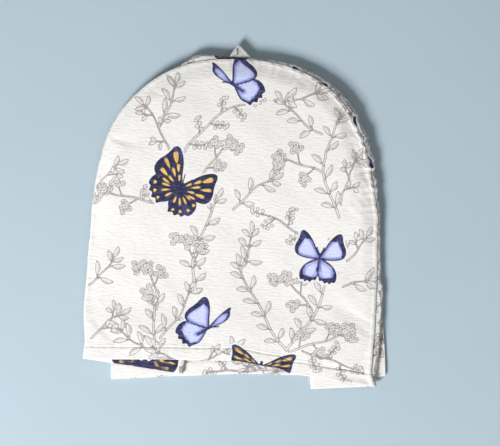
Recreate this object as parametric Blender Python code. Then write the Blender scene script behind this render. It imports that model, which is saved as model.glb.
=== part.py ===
"""Cloth dust cover for a stand mixer, taken off and lying flat on a table.

An arched front lies on an arched back that is turned a little askew. A long strip, the
gusset, joins them round the arch and is folded inwards between them like a bellows. A
folded tape stands out of the seam at the top. Lengths are in millimetres until a mesh is
made, in metres. X runs to the right along the hem, Y from the hem to the top of the
arch, and Z up from the table.
"""

import math
from typing import NamedTuple

import bmesh
import bpy
from mathutils import Vector

MM = 0.001

# Panels: straight sides below a rounded arch
HALF_WIDTH = 180.0
SIDE_HEIGHT = 180.0
ARCH_RISE = 200.0
ARCH_ROUNDNESS = 2.3

# Cloth
CLOTH = 1.2
HEM_CLOTH = 2.0
HEM_DEPTH = 17.0
HEM_STEP = 3.0
HEMS_END = (32.0, 80.0)
GAP = 0.4

# Back panel, as it lies
BACK_HALF_WIDTH = 171.0
BACK_TAPER = 6.0
BACK_RISE = 190.0
BACK_TURN = math.radians(3.36)
BACK_SHIFT = (25.9, -14.7)

# Heights of the folded layers above the table
FOLD_SPACE = 4.2
LEFT_WALL = 0.3
RIGHT_WALL = 4.0
ARCH_WALL = 8.0
CROWN_AT_HEM = 0.6
CROWN_AT_ARCH = 4.0
EDGE_ROLL = 22.0
MIDDLE_SAG = 0.6
RIPPLE = 3.0
LOWER_RIPPLE = 0.9
RIPPLES = 13

# Places between which those heights change, across (X) or up (Y) the cover
WALL_RISE_X = (60.0, 165.0)
WALL_RISE_Y = (110.0, 340.0)
CROWN_RISE_Y = (20.0, 260.0)
MIDDLE_LEFT_X = (-62.0, -25.0)
MIDDLE_RIGHT_X = (70.0, 110.0)
SAG_END_Y = (150.0, 300.0)

# Shares of the way round the seam: each straight side, and where the ripples are full
SIDE_SHARE = 0.185
RIPPLED_SHARE = 0.3
EDGE_STEP = 0.012

# Grid counts
COLUMNS = 32
ROWS = 16
BACK_COLUMNS = 26
BACK_ROWS = 6
STATIONS = 56
WALL_POINTS = 5
RUN_POINTS = 6
NOSE_POINTS = 5
TAB_ROWS = 4
SHARP_ANGLE = math.radians(40.0)

# Folded tape at the top
TAB_FOOT = (-16.0, 11.5)
TAB_TIP = (-6.2, -3.4)
TAB_FOOT_Y = 383.1
TAB_TIP_Y = 397.7
TAB_CLOTH = 0.9
TAB_SPACE = 2.0
TAB_FOOT_Z = 10.6
TAB_TIP_Z = 9.4


class Sway(NamedTuple):
    """How far the front's sides lie outside the plain arch at a height."""

    height: float
    left: float
    right: float


FRONT_SWAY = (
    Sway(-18.0, 0.0, 3.0),
    Sway(0.0, 0.0, -2.0),
    Sway(17.0, -1.2, -1.3),
    Sway(60.0, 2.0, 0.0),
    Sway(120.0, 0.0, 0.0),
    Sway(180.0, -2.5, -2.0),
    Sway(240.0, -4.0, -7.5),
    Sway(300.0, -2.0, -7.0),
    Sway(340.0, -2.5, -3.0),
    Sway(380.0, 0.0, 0.0),
)


class HemPoint(NamedTuple):
    """Height of a hem's lower edge at a place across the panel."""

    across: float
    height: float


FRONT_HEM = (
    HemPoint(-180.0, 0.0),
    HemPoint(-54.0, 4.0),
    HemPoint(10.0, 5.8),
    HemPoint(57.0, 0.0),
    HemPoint(86.0, -8.0),
    HemPoint(140.0, -13.5),
    HemPoint(182.0, -18.2),
)
BACK_HEM = (
    HemPoint(-171.0, 0.0),
    HemPoint(-78.0, 3.0),
    HemPoint(-10.0, 4.4),
    HemPoint(77.0, 1.6),
    HemPoint(163.0, -2.7),
    HemPoint(172.0, 0.0),
)


class Fold(NamedTuple):
    """How the gusset is folded at a share of the way round the seam.

    bulge is how far it stands outside the seam, depth how far in its fold lies, and
    slip how far the fold has slid towards the hem.
    """

    along: float
    bulge: float
    depth: float
    slip: float


FOLDS = (
    Fold(0.000, 0.0, 124.0, 13.5),
    Fold(0.100, 0.0, 121.0, 7.0),
    Fold(0.185, 0.3, 108.0, 0.0),
    Fold(0.300, 0.8, 98.0, 0.0),
    Fold(0.415, 1.0, 95.0, 0.0),
    Fold(0.455, 9.0, 95.0, 0.0),
    Fold(0.478, 4.0, 96.0, 0.0),
    Fold(0.490, 2.2, 96.0, 0.0),
    Fold(0.515, 2.2, 96.0, 0.0),
    Fold(0.560, 5.0, 96.0, 0.0),
    Fold(0.690, 7.5, 92.0, 0.0),
    Fold(0.750, 6.0, 88.0, 0.0),
    Fold(0.815, 3.0, 84.0, 0.0),
    Fold(0.860, 4.0, 82.0, 0.0),
    Fold(0.895, 8.0, 80.0, 1.0),
    Fold(0.960, 7.5, 79.0, 4.0),
    Fold(0.982, 6.0, 78.0, 6.0),
    Fold(1.000, 1.5, 78.0, 7.0),
)


class Crease(NamedTuple):
    """A soft trough, or a ridge where depth is negative, between two points."""

    x0: float
    y0: float
    x1: float
    y1: float
    width: float
    depth: float


CREASES = (
    Crease(-172.0, 283.0, -128.0, 268.0, 9.0, 1.2),
    Crease(-176.0, 226.0, -148.0, 216.0, 8.0, 0.9),
    Crease(-176.0, 64.0, -140.0, 20.0, 10.0, 0.9),
    Crease(138.0, 292.0, 170.0, 236.0, 9.0, 1.3),
    Crease(120.0, 318.0, 150.0, 270.0, 11.0, -0.9),
    Crease(150.0, 176.0, 156.0, 84.0, 12.0, 0.9),
    Crease(132.0, 82.0, 182.0, 46.0, 10.0, 1.0),
    Crease(-60.0, 110.0, -52.0, -4.0, 14.0, 0.5),
    Crease(104.0, 120.0, 106.0, -8.0, 12.0, 0.6),
)


def ease(share):
    """Zero below 0, one above 1 and a smooth rise between them."""
    share = min(1.0, max(0.0, share))
    return share * share * (3.0 - 2.0 * share)


def ramp(value, start, end):
    """Smooth rise from 0 at start to 1 at end."""
    return ease((value - start) / (end - start))


def read(table, place, column):
    """Value of a named column at a place along a table's first column."""
    if place <= table[0][0]:
        return getattr(table[0], column)
    for before, after in zip(table, table[1:]):
        if place <= after[0]:
            share = ramp(place, before[0], after[0])
            start, end = getattr(before, column), getattr(after, column)
            return start + (end - start) * share
    return getattr(table[-1], column)


def bowed(base, power):
    """A power that keeps the sign of its base."""
    return math.copysign(abs(base) ** power, base)


def arch_point(share, half_width, rise):
    """Point of the arch at a share of the way from its left end to its right end."""
    angle = math.pi * (1.0 - share)
    power = 2.0 / ARCH_ROUNDNESS
    x = half_width * bowed(math.cos(angle), power)
    return x, SIDE_HEIGHT + rise * bowed(math.sin(angle), power)


def swayed(x, y):
    """A point of the plain front moved to where the cloth lies."""
    share = 0.5 + 0.5 * x / HALF_WIDTH
    left, right = read(FRONT_SWAY, y, "left"), read(FRONT_SWAY, y, "right")
    return x - left * (1.0 - share) + right * share, y


def edge_distance(x, y):
    """About how far a point of the front lies inside its arch and sides."""
    up = max(0.0, y - SIDE_HEIGHT) / ARCH_RISE
    across = abs(x) / HALF_WIDTH
    level = (up**ARCH_ROUNDNESS + across**ARCH_ROUNDNESS) ** (1.0 / ARCH_ROUNDNESS)
    return max(0.0, 1.0 - level) * HALF_WIDTH


def hem_share(from_hem):
    """One on the double cloth of a hem, and zero above it."""
    return 1.0 - ramp(from_hem, HEM_DEPTH, HEM_DEPTH + HEM_STEP)


def half_thickness(from_hem):
    """Half the thickness of the cloth at a distance from its hem's edge."""
    return 0.5 * (CLOTH + (HEM_CLOTH - CLOTH) * hem_share(from_hem))


def hem_lift(y):
    """How much higher each layer lies where the double hems are stacked."""
    return (HEM_CLOTH - CLOTH) * (1.0 - ramp(y, *HEMS_END))


def lower_run_height(y):
    """Middle of the gusset's lower layer, which lies on the back panel."""
    return 1.5 * CLOTH + GAP + 1.5 * hem_lift(y)


def upper_run_height(y):
    """Middle of the gusset's upper layer."""
    return lower_run_height(y) + FOLD_SPACE


def seam_height(x, y):
    """Middle of the gusset where it hangs from the front's edge."""
    wall = LEFT_WALL + (RIGHT_WALL - LEFT_WALL) * ramp(x, *WALL_RISE_X)
    return upper_run_height(y) + wall + ARCH_WALL * ramp(y, *WALL_RISE_Y)


def crease_depth(x, y):
    """How far the creases lower the front at a point."""
    total = 0.0
    for crease in CREASES:
        run_x, run_y = crease.x1 - crease.x0, crease.y1 - crease.y0
        length = math.hypot(run_x, run_y)
        along = ((x - crease.x0) * run_x + (y - crease.y0) * run_y) / length
        aside = ((x - crease.x0) * run_y - (y - crease.y0) * run_x) / length
        ends = ramp(along, -crease.width, crease.width)
        ends *= 1.0 - ramp(along, length - crease.width, length + crease.width)
        total += crease.depth * ends * math.exp(-((aside / crease.width) ** 2))
    return total


def front_height(x, y):
    """Middle of the front panel, which crowns over the folds beneath it."""
    edge = seam_height(x, y) + CLOTH + GAP + hem_lift(y)
    crown = CROWN_AT_HEM + (CROWN_AT_ARCH - CROWN_AT_HEM) * ramp(y, *CROWN_RISE_Y)
    rise = ramp(edge_distance(x, y), 0.0, EDGE_ROLL)
    middle = ramp(x, *MIDDLE_LEFT_X) * (1.0 - ramp(x, *MIDDLE_RIGHT_X))
    sag = MIDDLE_SAG * middle * (1.0 - ramp(y, *SAG_END_Y))
    return edge + rise * (crown - sag - crease_depth(x, y))


def heights_up(hem, top, rows):
    """Heights up a column: across the hem, over its step, then evenly to the top."""
    inner = hem + HEM_DEPTH + HEM_STEP
    steps = [hem, hem + 0.5 * HEM_DEPTH, hem + HEM_DEPTH, inner]
    return steps + [inner + (top - inner) * row / rows for row in range(1, rows + 1)]


def front_middle(share, row):
    """Middle of the front in a column and row, with half its thickness."""
    x, top = arch_point(share, HALF_WIDTH, ARCH_RISE)
    hem = read(FRONT_HEM, x, "height")
    y = heights_up(hem, top, ROWS)[row]
    place = swayed(x, y)
    return Vector((*place, front_height(x, y))), half_thickness(y - hem)


def back_place(x, y):
    """A point of the back panel where it lies, turned askew under the front."""
    cos, sin = math.cos(BACK_TURN), math.sin(BACK_TURN)
    return BACK_SHIFT[0] + x * cos - y * sin, BACK_SHIFT[1] + x * sin + y * cos


def back_tapered(x, y):
    """The back's cloth is drawn in a little towards its arch."""
    return x * (1.0 - BACK_TAPER / BACK_HALF_WIDTH * ramp(y, 0.0, SIDE_HEIGHT)), y


def back_middle(share, row):
    """Lower face of the back in a column and row, with its thickness."""
    x, top = arch_point(share, BACK_HALF_WIDTH, BACK_RISE)
    hem = read(BACK_HEM, x, "height")
    y = heights_up(hem, top, BACK_ROWS)[row]
    place = back_place(*back_tapered(x, y))
    return Vector((*place, 0.0)), 2.0 * half_thickness(y - hem)


def plain_edge(along):
    """Point of the plain front's edge at a share of the way round, from the left hem."""
    if SIDE_SHARE <= along <= 1.0 - SIDE_SHARE:
        share = (along - SIDE_SHARE) / (1.0 - 2.0 * SIDE_SHARE)
        return Vector(arch_point(share, HALF_WIDTH, ARCH_RISE))
    x = math.copysign(HALF_WIDTH, along - 0.5)
    hem = read(FRONT_HEM, x, "height")
    share = min(along, 1.0 - along) / SIDE_SHARE
    return Vector((x, hem + (SIDE_HEIGHT - hem) * share))


def front_edge(along):
    """Point of the front's edge as it lies, its outward side and its way round."""
    before = plain_edge(max(0.0, along - EDGE_STEP))
    after = plain_edge(min(1.0, along + EDGE_STEP))
    way = (after - before).normalized()
    return Vector(swayed(*plain_edge(along))), Vector((-way.y, way.x)), way


def back_edge(along):
    """Point of the back's edge at a share of the way round."""
    if SIDE_SHARE <= along <= 1.0 - SIDE_SHARE:
        share = (along - SIDE_SHARE) / (1.0 - 2.0 * SIDE_SHARE)
        x, y = arch_point(share, BACK_HALF_WIDTH, BACK_RISE)
    else:
        x = math.copysign(BACK_HALF_WIDTH, along - 0.5)
        y = SIDE_HEIGHT * min(along, 1.0 - along) / SIDE_SHARE
    return Vector(back_place(*back_tapered(x, y)))


def gusset_section(along):
    """Middle of the gusset from the front's seam, in to its fold and out to the back."""
    edge, out, way = front_edge(along)
    bulge, depth = read(FOLDS, along, "bulge"), read(FOLDS, along, "depth")
    toward_hem = -way if along < 0.5 else way
    fold = edge - out * depth + toward_hem * read(FOLDS, along, "slip")
    back = back_edge(along)
    top, upper = seam_height(edge.x, edge.y), upper_run_height(edge.y)
    arch = ramp(min(along, 1.0 - along), SIDE_SHARE, RIPPLED_SHARE)
    wave = arch * (0.5 - 0.5 * math.cos(2.0 * math.pi * RIPPLES * along))
    points = []
    for step in range(WALL_POINTS):
        turn = math.pi * step / (WALL_POINTS - 1)
        place = edge + out * bulge * math.sin(turn)
        points.append((place, upper + (top - upper) * 0.5 * (1.0 + math.cos(turn))))
    radius = 0.5 * FOLD_SPACE
    inward = (fold - edge).normalized()
    nose = fold - inward * radius
    for step in range(1, RUN_POINTS):
        share = step / RUN_POINTS
        place = edge.lerp(nose, share)
        lift = RIPPLE * wave * math.sin(math.pi * share)
        points.append((place, upper_run_height(place.y) + lift))
    for step in range(NOSE_POINTS):
        turn = math.pi * step / (NOSE_POINTS - 1)
        place = nose + inward * radius * math.sin(turn)
        points.append((place, lower_run_height(nose.y) + radius * (1.0 + math.cos(turn))))
    for step in range(1, RUN_POINTS + 1):
        share = step / RUN_POINTS
        place = nose.lerp(back, share)
        lift = LOWER_RIPPLE * wave * math.sin(math.pi * share)
        points.append((place, lower_run_height(place.y) + lift))
    return [Vector((place.x, place.y, height)) for place, height in points]


def station_places():
    """Shares of the way round at which the gusset is drawn, with their hem distances."""
    side = SIDE_HEIGHT / SIDE_SHARE
    hems = [0.0, 0.5 * HEM_DEPTH, HEM_DEPTH, HEM_DEPTH + HEM_STEP]
    first = hems[-1] / side
    even = [first + (1.0 - 2.0 * first) * step / STATIONS for step in range(1, STATIONS)]
    left = [hem / side for hem in hems]
    right = [1.0 - hem / side for hem in reversed(hems)]
    places = left + even + right
    return [(place, min(place, 1.0 - place) * side) for place in places]


def grid_normals(grid):
    """Unit normals of a grid of points, from its neighbours along and across."""
    last_row, last_column = len(grid) - 1, len(grid[0]) - 1
    normals = []
    for row, points in enumerate(grid):
        below, above = grid[max(0, row - 1)], grid[min(last_row, row + 1)]
        line = []
        for column in range(len(points)):
            before = points[max(0, column - 1)]
            after = points[min(last_column, column + 1)]
            across = above[column] - below[column]
            line.append((after - before).cross(across).normalized())
        normals.append(line)
    return normals


def offset(grid, normals, distances):
    """A grid moved along its normals, by one distance for each row."""
    moved = []
    for points, line, distance in zip(grid, normals, distances):
        moved.append([point + normal * distance for point, normal in zip(points, line)])
    return moved


def closed_sheet(name, upper, lower, colour):
    """Object whose solid lies between two grids of points, in millimetres."""
    rows, columns = len(upper), len(upper[0])
    form = bmesh.new()
    tops = [[form.verts.new(point * MM) for point in line] for line in upper]
    feet = [[form.verts.new(point * MM) for point in line] for line in lower]
    for row in range(rows - 1):
        for column in range(columns - 1):
            corners = ((row, column), (row, column + 1), (row + 1, column + 1), (row + 1, column))
            form.faces.new([tops[r][c] for r, c in corners])
            form.faces.new([feet[r][c] for r, c in reversed(corners)])
    rim = [(0, column) for column in range(columns)]
    rim += [(row, columns - 1) for row in range(1, rows)]
    rim += [(rows - 1, column) for column in range(columns - 2, -1, -1)]
    rim += [(row, 0) for row in range(rows - 2, 0, -1)]
    for (r0, c0), (r1, c1) in zip(rim, rim[1:] + rim[:1]):
        form.faces.new((tops[r1][c1], tops[r0][c0], feet[r0][c0], feet[r1][c1]))
    bmesh.ops.recalc_face_normals(form, faces=form.faces)
    mesh = bpy.data.meshes.new(name)
    form.to_mesh(mesh)
    form.free()
    mesh.shade_smooth()
    mesh.set_sharp_from_angle(angle=SHARP_ANGLE)
    mesh.materials.append(cloth_material(name, colour))
    piece = bpy.data.objects.new(name, mesh)
    bpy.context.scene.collection.objects.link(piece)
    return piece


def cloth_material(name, colour):
    """Matt woven cloth of one colour."""
    material = bpy.data.materials.new(name + "_cloth")
    material.use_nodes = True
    shader = material.node_tree.nodes["Principled BSDF"]
    shader.inputs["Base Color"].default_value = (*colour, 1.0)
    shader.inputs["Roughness"].default_value = 0.9
    shader.inputs["Metallic"].default_value = 0.0
    return material


def front_panel():
    """Arched front with its hem, crowned over the folds beneath it."""
    upper, lower = [], []
    for row in range(ROWS + 4):
        line = [front_middle(column / COLUMNS, row) for column in range(COLUMNS + 1)]
        upper.append([middle + Vector((0.0, 0.0, half)) for middle, half in line])
        lower.append([middle - Vector((0.0, 0.0, half)) for middle, half in line])
    return closed_sheet("front_panel", upper, lower, (0.80, 0.79, 0.75))


def back_panel():
    """Arched back with its hem, flat on the table."""
    upper, lower = [], []
    for row in range(BACK_ROWS + 4):
        line = [back_middle(column / BACK_COLUMNS, row) for column in range(BACK_COLUMNS + 1)]
        upper.append([foot + Vector((0.0, 0.0, thickness)) for foot, thickness in line])
        lower.append([foot for foot, thickness in line])
    return closed_sheet("back_panel", upper, lower, (0.76, 0.75, 0.71))


def gusset():
    """Long strip between front and back, folded inwards all the way round."""
    places = station_places()
    middle = [gusset_section(along) for along, from_hem in places]
    halves = [half_thickness(from_hem) for along, from_hem in places]
    normals = grid_normals(middle)
    upper = offset(middle, normals, halves)
    lower = offset(middle, normals, [-half for half in halves])
    return closed_sheet("gusset", upper, lower, (0.78, 0.77, 0.73))


def loop_tab():
    """Narrow tape folded to a point, its fold on the right."""
    middle = []
    for row in range(TAB_ROWS + 1):
        share = row / TAB_ROWS
        left = TAB_FOOT[0] + (TAB_TIP[0] - TAB_FOOT[0]) * share
        right = TAB_FOOT[1] + (TAB_TIP[1] - TAB_FOOT[1]) * share
        y = TAB_FOOT_Y + (TAB_TIP_Y - TAB_FOOT_Y) * share
        low = TAB_FOOT_Z + (TAB_TIP_Z - TAB_FOOT_Z) * share - 0.5 * TAB_SPACE
        bend = right - 0.5 * TAB_SPACE
        line = [Vector((left, y, low)), Vector((0.5 * (left + bend), y, low))]
        for step in range(NOSE_POINTS):
            turn = math.pi * step / (NOSE_POINTS - 1)
            x = bend + 0.5 * TAB_SPACE * math.sin(turn)
            line.append(Vector((x, y, low + 0.5 * TAB_SPACE * (1.0 - math.cos(turn)))))
        line.append(Vector((0.5 * (left + bend), y, low + TAB_SPACE)))
        line.append(Vector((left, y, low + TAB_SPACE)))
        middle.append(line)
    normals = grid_normals(middle)
    halves = [0.5 * TAB_CLOTH] * len(middle)
    upper = offset(middle, normals, halves)
    lower = offset(middle, normals, [-half for half in halves])
    return closed_sheet("loop_tab", upper, lower, (0.82, 0.82, 0.80))


def centre_on_floor(pieces):
    """Moves the meshes so that the origin is under the middle of the whole cover."""
    points = [vertex.co for piece in pieces for vertex in piece.data.vertices]
    lowest = Vector([min(point[axis] for point in points) for axis in range(3)])
    highest = Vector([max(point[axis] for point in points) for axis in range(3)])
    middle = 0.5 * (lowest + highest)
    for piece in pieces:
        for vertex in piece.data.vertices:
            vertex.co -= Vector((middle.x, middle.y, lowest.z))


def main():
    """Builds the four sewn pieces."""
    for leftover in list(bpy.data.objects):
        bpy.data.objects.remove(leftover)
    centre_on_floor([front_panel(), gusset(), back_panel(), loop_tab()])


main()
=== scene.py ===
"""Dresses a cloth dust cover that lies flat, its side strip folded in between its panels.

The canvas pieces are fine closed sheets on the folds of the solids. The print is drawn by
small classes as signed distances to leaves, petals, stems and wings, which each sheet
carries as point attributes and the shader turns into ink. Lengths are in millimetres in
the frame of the hem until a mesh is made, in metres, in the frame of the part.
"""

import logging
import math
from dataclasses import dataclass, field
from enum import Enum
from typing import Callable, NamedTuple, Sequence

import bmesh
import bpy
import numpy as np
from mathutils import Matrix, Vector

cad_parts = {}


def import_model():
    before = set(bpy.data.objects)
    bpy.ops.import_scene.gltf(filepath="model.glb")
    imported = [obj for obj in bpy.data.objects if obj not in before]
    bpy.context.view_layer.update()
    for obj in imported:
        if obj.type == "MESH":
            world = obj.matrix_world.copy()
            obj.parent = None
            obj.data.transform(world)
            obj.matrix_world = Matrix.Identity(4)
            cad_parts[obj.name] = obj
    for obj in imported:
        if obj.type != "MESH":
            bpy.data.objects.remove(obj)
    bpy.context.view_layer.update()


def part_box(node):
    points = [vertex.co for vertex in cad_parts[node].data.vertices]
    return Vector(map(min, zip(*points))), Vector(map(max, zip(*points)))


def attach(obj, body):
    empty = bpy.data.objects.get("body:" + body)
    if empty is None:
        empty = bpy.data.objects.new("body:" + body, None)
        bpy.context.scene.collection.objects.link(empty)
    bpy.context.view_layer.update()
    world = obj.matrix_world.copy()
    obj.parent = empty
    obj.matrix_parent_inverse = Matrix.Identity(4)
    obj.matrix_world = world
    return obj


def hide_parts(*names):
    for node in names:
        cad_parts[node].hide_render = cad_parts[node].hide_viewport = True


LOG = logging.getLogger("dust_cover")
MM = 0.001
BODY = "root"

# Panels: straight sides below a rounded arch
HALF_WIDTH = 180.0
SIDE_HEIGHT = 180.0
ARCH_RISE = 200.0
ARCH_ROUNDNESS = 2.3

# Cloth
CLOTH = 1.2
HEM_CLOTH = 2.0
HEM_DEPTH = 17.0
HEM_STEP = 1.6
HEMS_END = (32.0, 80.0)
GAP = 0.4

# Back panel, as it lies
BACK_HALF_WIDTH = 171.0
BACK_TAPER = 6.0
BACK_RISE = 190.0
BACK_TURN = math.radians(3.36)
BACK_SHIFT = (25.9, -14.7)

# Heights of the folded layers above the table
FOLD_SPACE = 4.2
LEFT_WALL = 0.3
RIGHT_WALL = 4.0
ARCH_WALL = 8.0
CROWN_AT_HEM = 0.6
CROWN_AT_ARCH = 4.0
EDGE_ROLL = 22.0
MIDDLE_SAG = 0.6
RIPPLE = 3.0
LOWER_RIPPLE = 0.9
RIPPLES = 13
EDGE_DROP = 0.6
EDGE_DROP_REACH = 2.2
WALL_RISE_X = (60.0, 165.0)
WALL_RISE_Y = (110.0, 340.0)
CROWN_RISE_Y = (20.0, 260.0)
MIDDLE_LEFT_X = (-62.0, -25.0)
MIDDLE_RIGHT_X = (70.0, 110.0)
SAG_END_Y = (150.0, 300.0)
RUCK = 3.2
RUCK_X = (70.0, 160.0)
RUCK_Y = (190.0, 240.0)

# Shares of the way round the seam
SIDE_SHARE = 0.185
RIPPLED_SHARE = 0.3
EDGE_STEP = 0.012
SEAM_LENGTH = 975.0

# Picture: millimetres to a pixel, the cover's turn in it, and its middle on the table
PICTURE_SIZE = (500, 446)
PIXEL = 1.25
PICTURE_TURN = math.radians(2.6)
PICTURE_MIDDLE = (19.4, 177.9)
CAMERA_HEIGHT = 1.9
SENSOR = 36.0


class Sway(NamedTuple):
    """How far the front's sides lie outside the plain arch at a height."""

    height: float
    left: float
    right: float


FRONT_SWAY = (
    Sway(-18.0, 0.0, 3.0),
    Sway(0.0, 0.0, -2.0),
    Sway(17.0, -1.2, -1.3),
    Sway(60.0, 2.0, 0.0),
    Sway(120.0, 0.0, 0.0),
    Sway(180.0, -2.5, -2.0),
    Sway(240.0, -4.0, -7.5),
    Sway(300.0, -2.0, -7.0),
    Sway(340.0, -2.5, -3.0),
    Sway(380.0, 0.0, 0.0),
)


class HemPoint(NamedTuple):
    """Height of a hem's lower edge at a place across the panel."""

    across: float
    height: float


FRONT_HEM = (
    HemPoint(-180.0, 0.0),
    HemPoint(-54.0, 4.0),
    HemPoint(10.0, 5.8),
    HemPoint(57.0, 0.0),
    HemPoint(86.0, -8.0),
    HemPoint(140.0, -13.5),
    HemPoint(182.0, -18.2),
)
BACK_HEM = (
    HemPoint(-171.0, 0.0),
    HemPoint(-78.0, 3.0),
    HemPoint(-10.0, 4.4),
    HemPoint(77.0, 1.6),
    HemPoint(163.0, -2.7),
    HemPoint(172.0, 0.0),
)


class Fold(NamedTuple):
    """How the strip is folded at a share of the way round the seam."""

    along: float
    bulge: float
    depth: float
    slip: float


FOLDS = (
    Fold(0.000, 0.0, 124.0, 13.5),
    Fold(0.100, 0.0, 121.0, 7.0),
    Fold(0.185, 0.3, 108.0, 0.0),
    Fold(0.300, 0.8, 98.0, 0.0),
    Fold(0.415, 1.0, 95.0, 0.0),
    Fold(0.455, 9.0, 95.0, 0.0),
    Fold(0.478, 4.0, 96.0, 0.0),
    Fold(0.490, 2.2, 96.0, 0.0),
    Fold(0.515, 2.2, 96.0, 0.0),
    Fold(0.560, 5.0, 96.0, 0.0),
    Fold(0.690, 7.5, 92.0, 0.0),
    Fold(0.750, 6.0, 88.0, 0.0),
    Fold(0.815, 3.0, 84.0, 0.0),
    Fold(0.860, 4.0, 82.0, 0.0),
    Fold(0.895, 8.0, 80.0, 1.0),
    Fold(0.960, 7.5, 79.0, 4.0),
    Fold(0.982, 6.0, 78.0, 6.0),
    Fold(1.000, 1.5, 78.0, 7.0),
)


class Crease(NamedTuple):
    """A soft trough, or a ridge where depth is negative, between two points."""

    x0: float
    y0: float
    x1: float
    y1: float
    width: float
    depth: float


CREASES = (
    Crease(-172.0, 283.0, -128.0, 268.0, 9.0, 1.2),
    Crease(-176.0, 226.0, -148.0, 216.0, 8.0, 0.9),
    Crease(-176.0, 64.0, -140.0, 20.0, 10.0, 0.9),
    Crease(138.0, 292.0, 170.0, 236.0, 9.0, 1.3),
    Crease(120.0, 318.0, 150.0, 270.0, 11.0, -0.9),
    Crease(150.0, 176.0, 156.0, 84.0, 12.0, 0.9),
    Crease(132.0, 82.0, 182.0, 46.0, 10.0, 1.0),
    Crease(-60.0, 110.0, -52.0, -4.0, 14.0, 0.5),
    Crease(104.0, 120.0, 106.0, -8.0, 12.0, 0.6),
)
FINE_CREASES = (
    Crease(-166.0, 277.0, -140.0, 270.0, 2.6, 0.5),
    Crease(-160.0, 268.0, -120.0, 262.0, 3.4, -0.3),
    Crease(-170.0, 222.0, -152.0, 217.0, 2.4, 0.4),
    Crease(148.0, 280.0, 162.0, 262.0, 2.4, 0.55),
    Crease(152.0, 268.0, 168.0, 244.0, 2.8, 0.55),
    Crease(140.0, 296.0, 156.0, 284.0, 2.6, -0.4),
    Crease(158.0, 246.0, 172.0, 224.0, 3.0, -0.4),
    Crease(150.0, 72.0, 178.0, 60.0, 3.0, 0.45),
    Crease(140.0, 60.0, 176.0, 40.0, 4.0, -0.35),
    Crease(-172.0, 52.0, -150.0, 30.0, 3.6, 0.4),
    Crease(118.0, 352.0, 132.0, 330.0, 3.0, 0.4),
    Crease(-118.0, 338.0, -96.0, 330.0, 3.2, 0.35),
    Crease(60.0, 368.0, 84.0, 350.0, 3.4, 0.3),
    Crease(160.0, -2.0, 172.0, 22.0, 3.0, 0.5),
    Crease(118.0, 6.0, 180.0, -1.8, 1.7, 1.0),
    Crease(136.0, -6.0, 178.0, -11.0, 5.5, 0.9),
    Crease(150.0, 226.0, 166.0, 206.0, 3.2, 0.5),
    Crease(144.0, 206.0, 164.0, 188.0, 4.2, -0.4),
    Crease(96.0, 366.0, 108.0, 346.0, 3.0, 0.4),
)


def ease(share: np.ndarray) -> np.ndarray:
    """Zero below 0, one above 1 and a smooth rise between them."""
    share = np.clip(share, 0.0, 1.0)
    return share * share * (3.0 - 2.0 * share)


def ramp(value: np.ndarray, start: float, end: float) -> np.ndarray:
    """Smooth rise from 0 at start to 1 at end."""
    return ease((np.asarray(value, float) - start) / (end - start))


def read(table: Sequence[NamedTuple], place: np.ndarray, column: str) -> np.ndarray:
    """Reads a table smoothly.

    Args:
        table: rows in the order of their first column.
        place: values of the first column to read at.
        column: name of the column to read.

    Returns:
        The column's value at each place.
    """
    place = np.asarray(place, float)
    stops = np.array([row[0] for row in table])
    values = np.array([getattr(row, column) for row in table])
    index = np.clip(np.searchsorted(stops, place, side="right") - 1, 0, len(stops) - 2)
    share = ease((place - stops[index]) / (stops[index + 1] - stops[index]))
    return values[index] + (values[index + 1] - values[index]) * share


def bowed(base: np.ndarray, power: float) -> np.ndarray:
    """A power that keeps the sign of its base."""
    return np.sign(base) * np.abs(base) ** power


def swayed(x: np.ndarray, y: np.ndarray) -> np.ndarray:
    """Places of the plain front's points as the cloth lies, rucked at the right arch.

    Args:
        x: places across the plain front.
        y: places up it.

    Returns:
        Their places across, with the sides' sway and the ruck.
    """
    share = 0.5 + 0.5 * x / HALF_WIDTH
    left, right = read(FRONT_SWAY, y, "left"), read(FRONT_SWAY, y, "right")
    ruck = RUCK * pucker(y) * ramp(y, *RUCK_Y) * ramp(x, *RUCK_X)
    return x - left * (1.0 - share) + right * share + ruck


def edge_distance(x: np.ndarray, y: np.ndarray) -> np.ndarray:
    """About how far points of the front lie inside its arch and sides.

    Args:
        x: places across the plain front.
        y: places up it.

    Returns:
        The distances, nought at the edge and outside it.
    """
    up = np.maximum(0.0, y - SIDE_HEIGHT) / ARCH_RISE
    across = np.abs(x) / HALF_WIDTH
    level = (up**ARCH_ROUNDNESS + across**ARCH_ROUNDNESS) ** (1.0 / ARCH_ROUNDNESS)
    return np.maximum(0.0, 1.0 - level) * HALF_WIDTH


def way_round(x: np.ndarray, y: np.ndarray) -> np.ndarray:
    """Length round the seam, from right to left, of the place nearest each point.

    Args:
        x: places across the plain front.
        y: places up it.

    Returns:
        Lengths, nought where the right side meets the arch.
    """
    angle = np.arctan2(np.maximum(0.0, y - SIDE_HEIGHT), x)
    below = np.minimum(0.0, y - SIDE_HEIGHT) * np.where(x < 0.0, -1.0, 1.0)
    return angle * 0.5 * (HALF_WIDTH + ARCH_RISE) + below


def hem_share(from_hem: np.ndarray) -> np.ndarray:
    """One on the double cloth of a hem, and zero above it."""
    return 1.0 - ramp(from_hem, HEM_DEPTH, HEM_DEPTH + HEM_STEP)


def half_thickness(from_hem: np.ndarray) -> np.ndarray:
    """Half the thickness of the cloth at a distance from its hem's edge."""
    return 0.5 * (CLOTH + (HEM_CLOTH - CLOTH) * hem_share(from_hem))


def edge_round(from_hem: np.ndarray) -> np.ndarray:
    """Share of the thickness left where the turned hem rounds off at its edge."""
    share = np.clip(from_hem / (0.5 * HEM_CLOTH), 0.0, 1.0)
    return 0.2 + 0.8 * np.sqrt(1.0 - (1.0 - share) ** 2)


def hem_lift(y: np.ndarray) -> np.ndarray:
    """How much higher each layer lies where the double hems are stacked."""
    return (HEM_CLOTH - CLOTH) * (1.0 - ramp(y, *HEMS_END))


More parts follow.
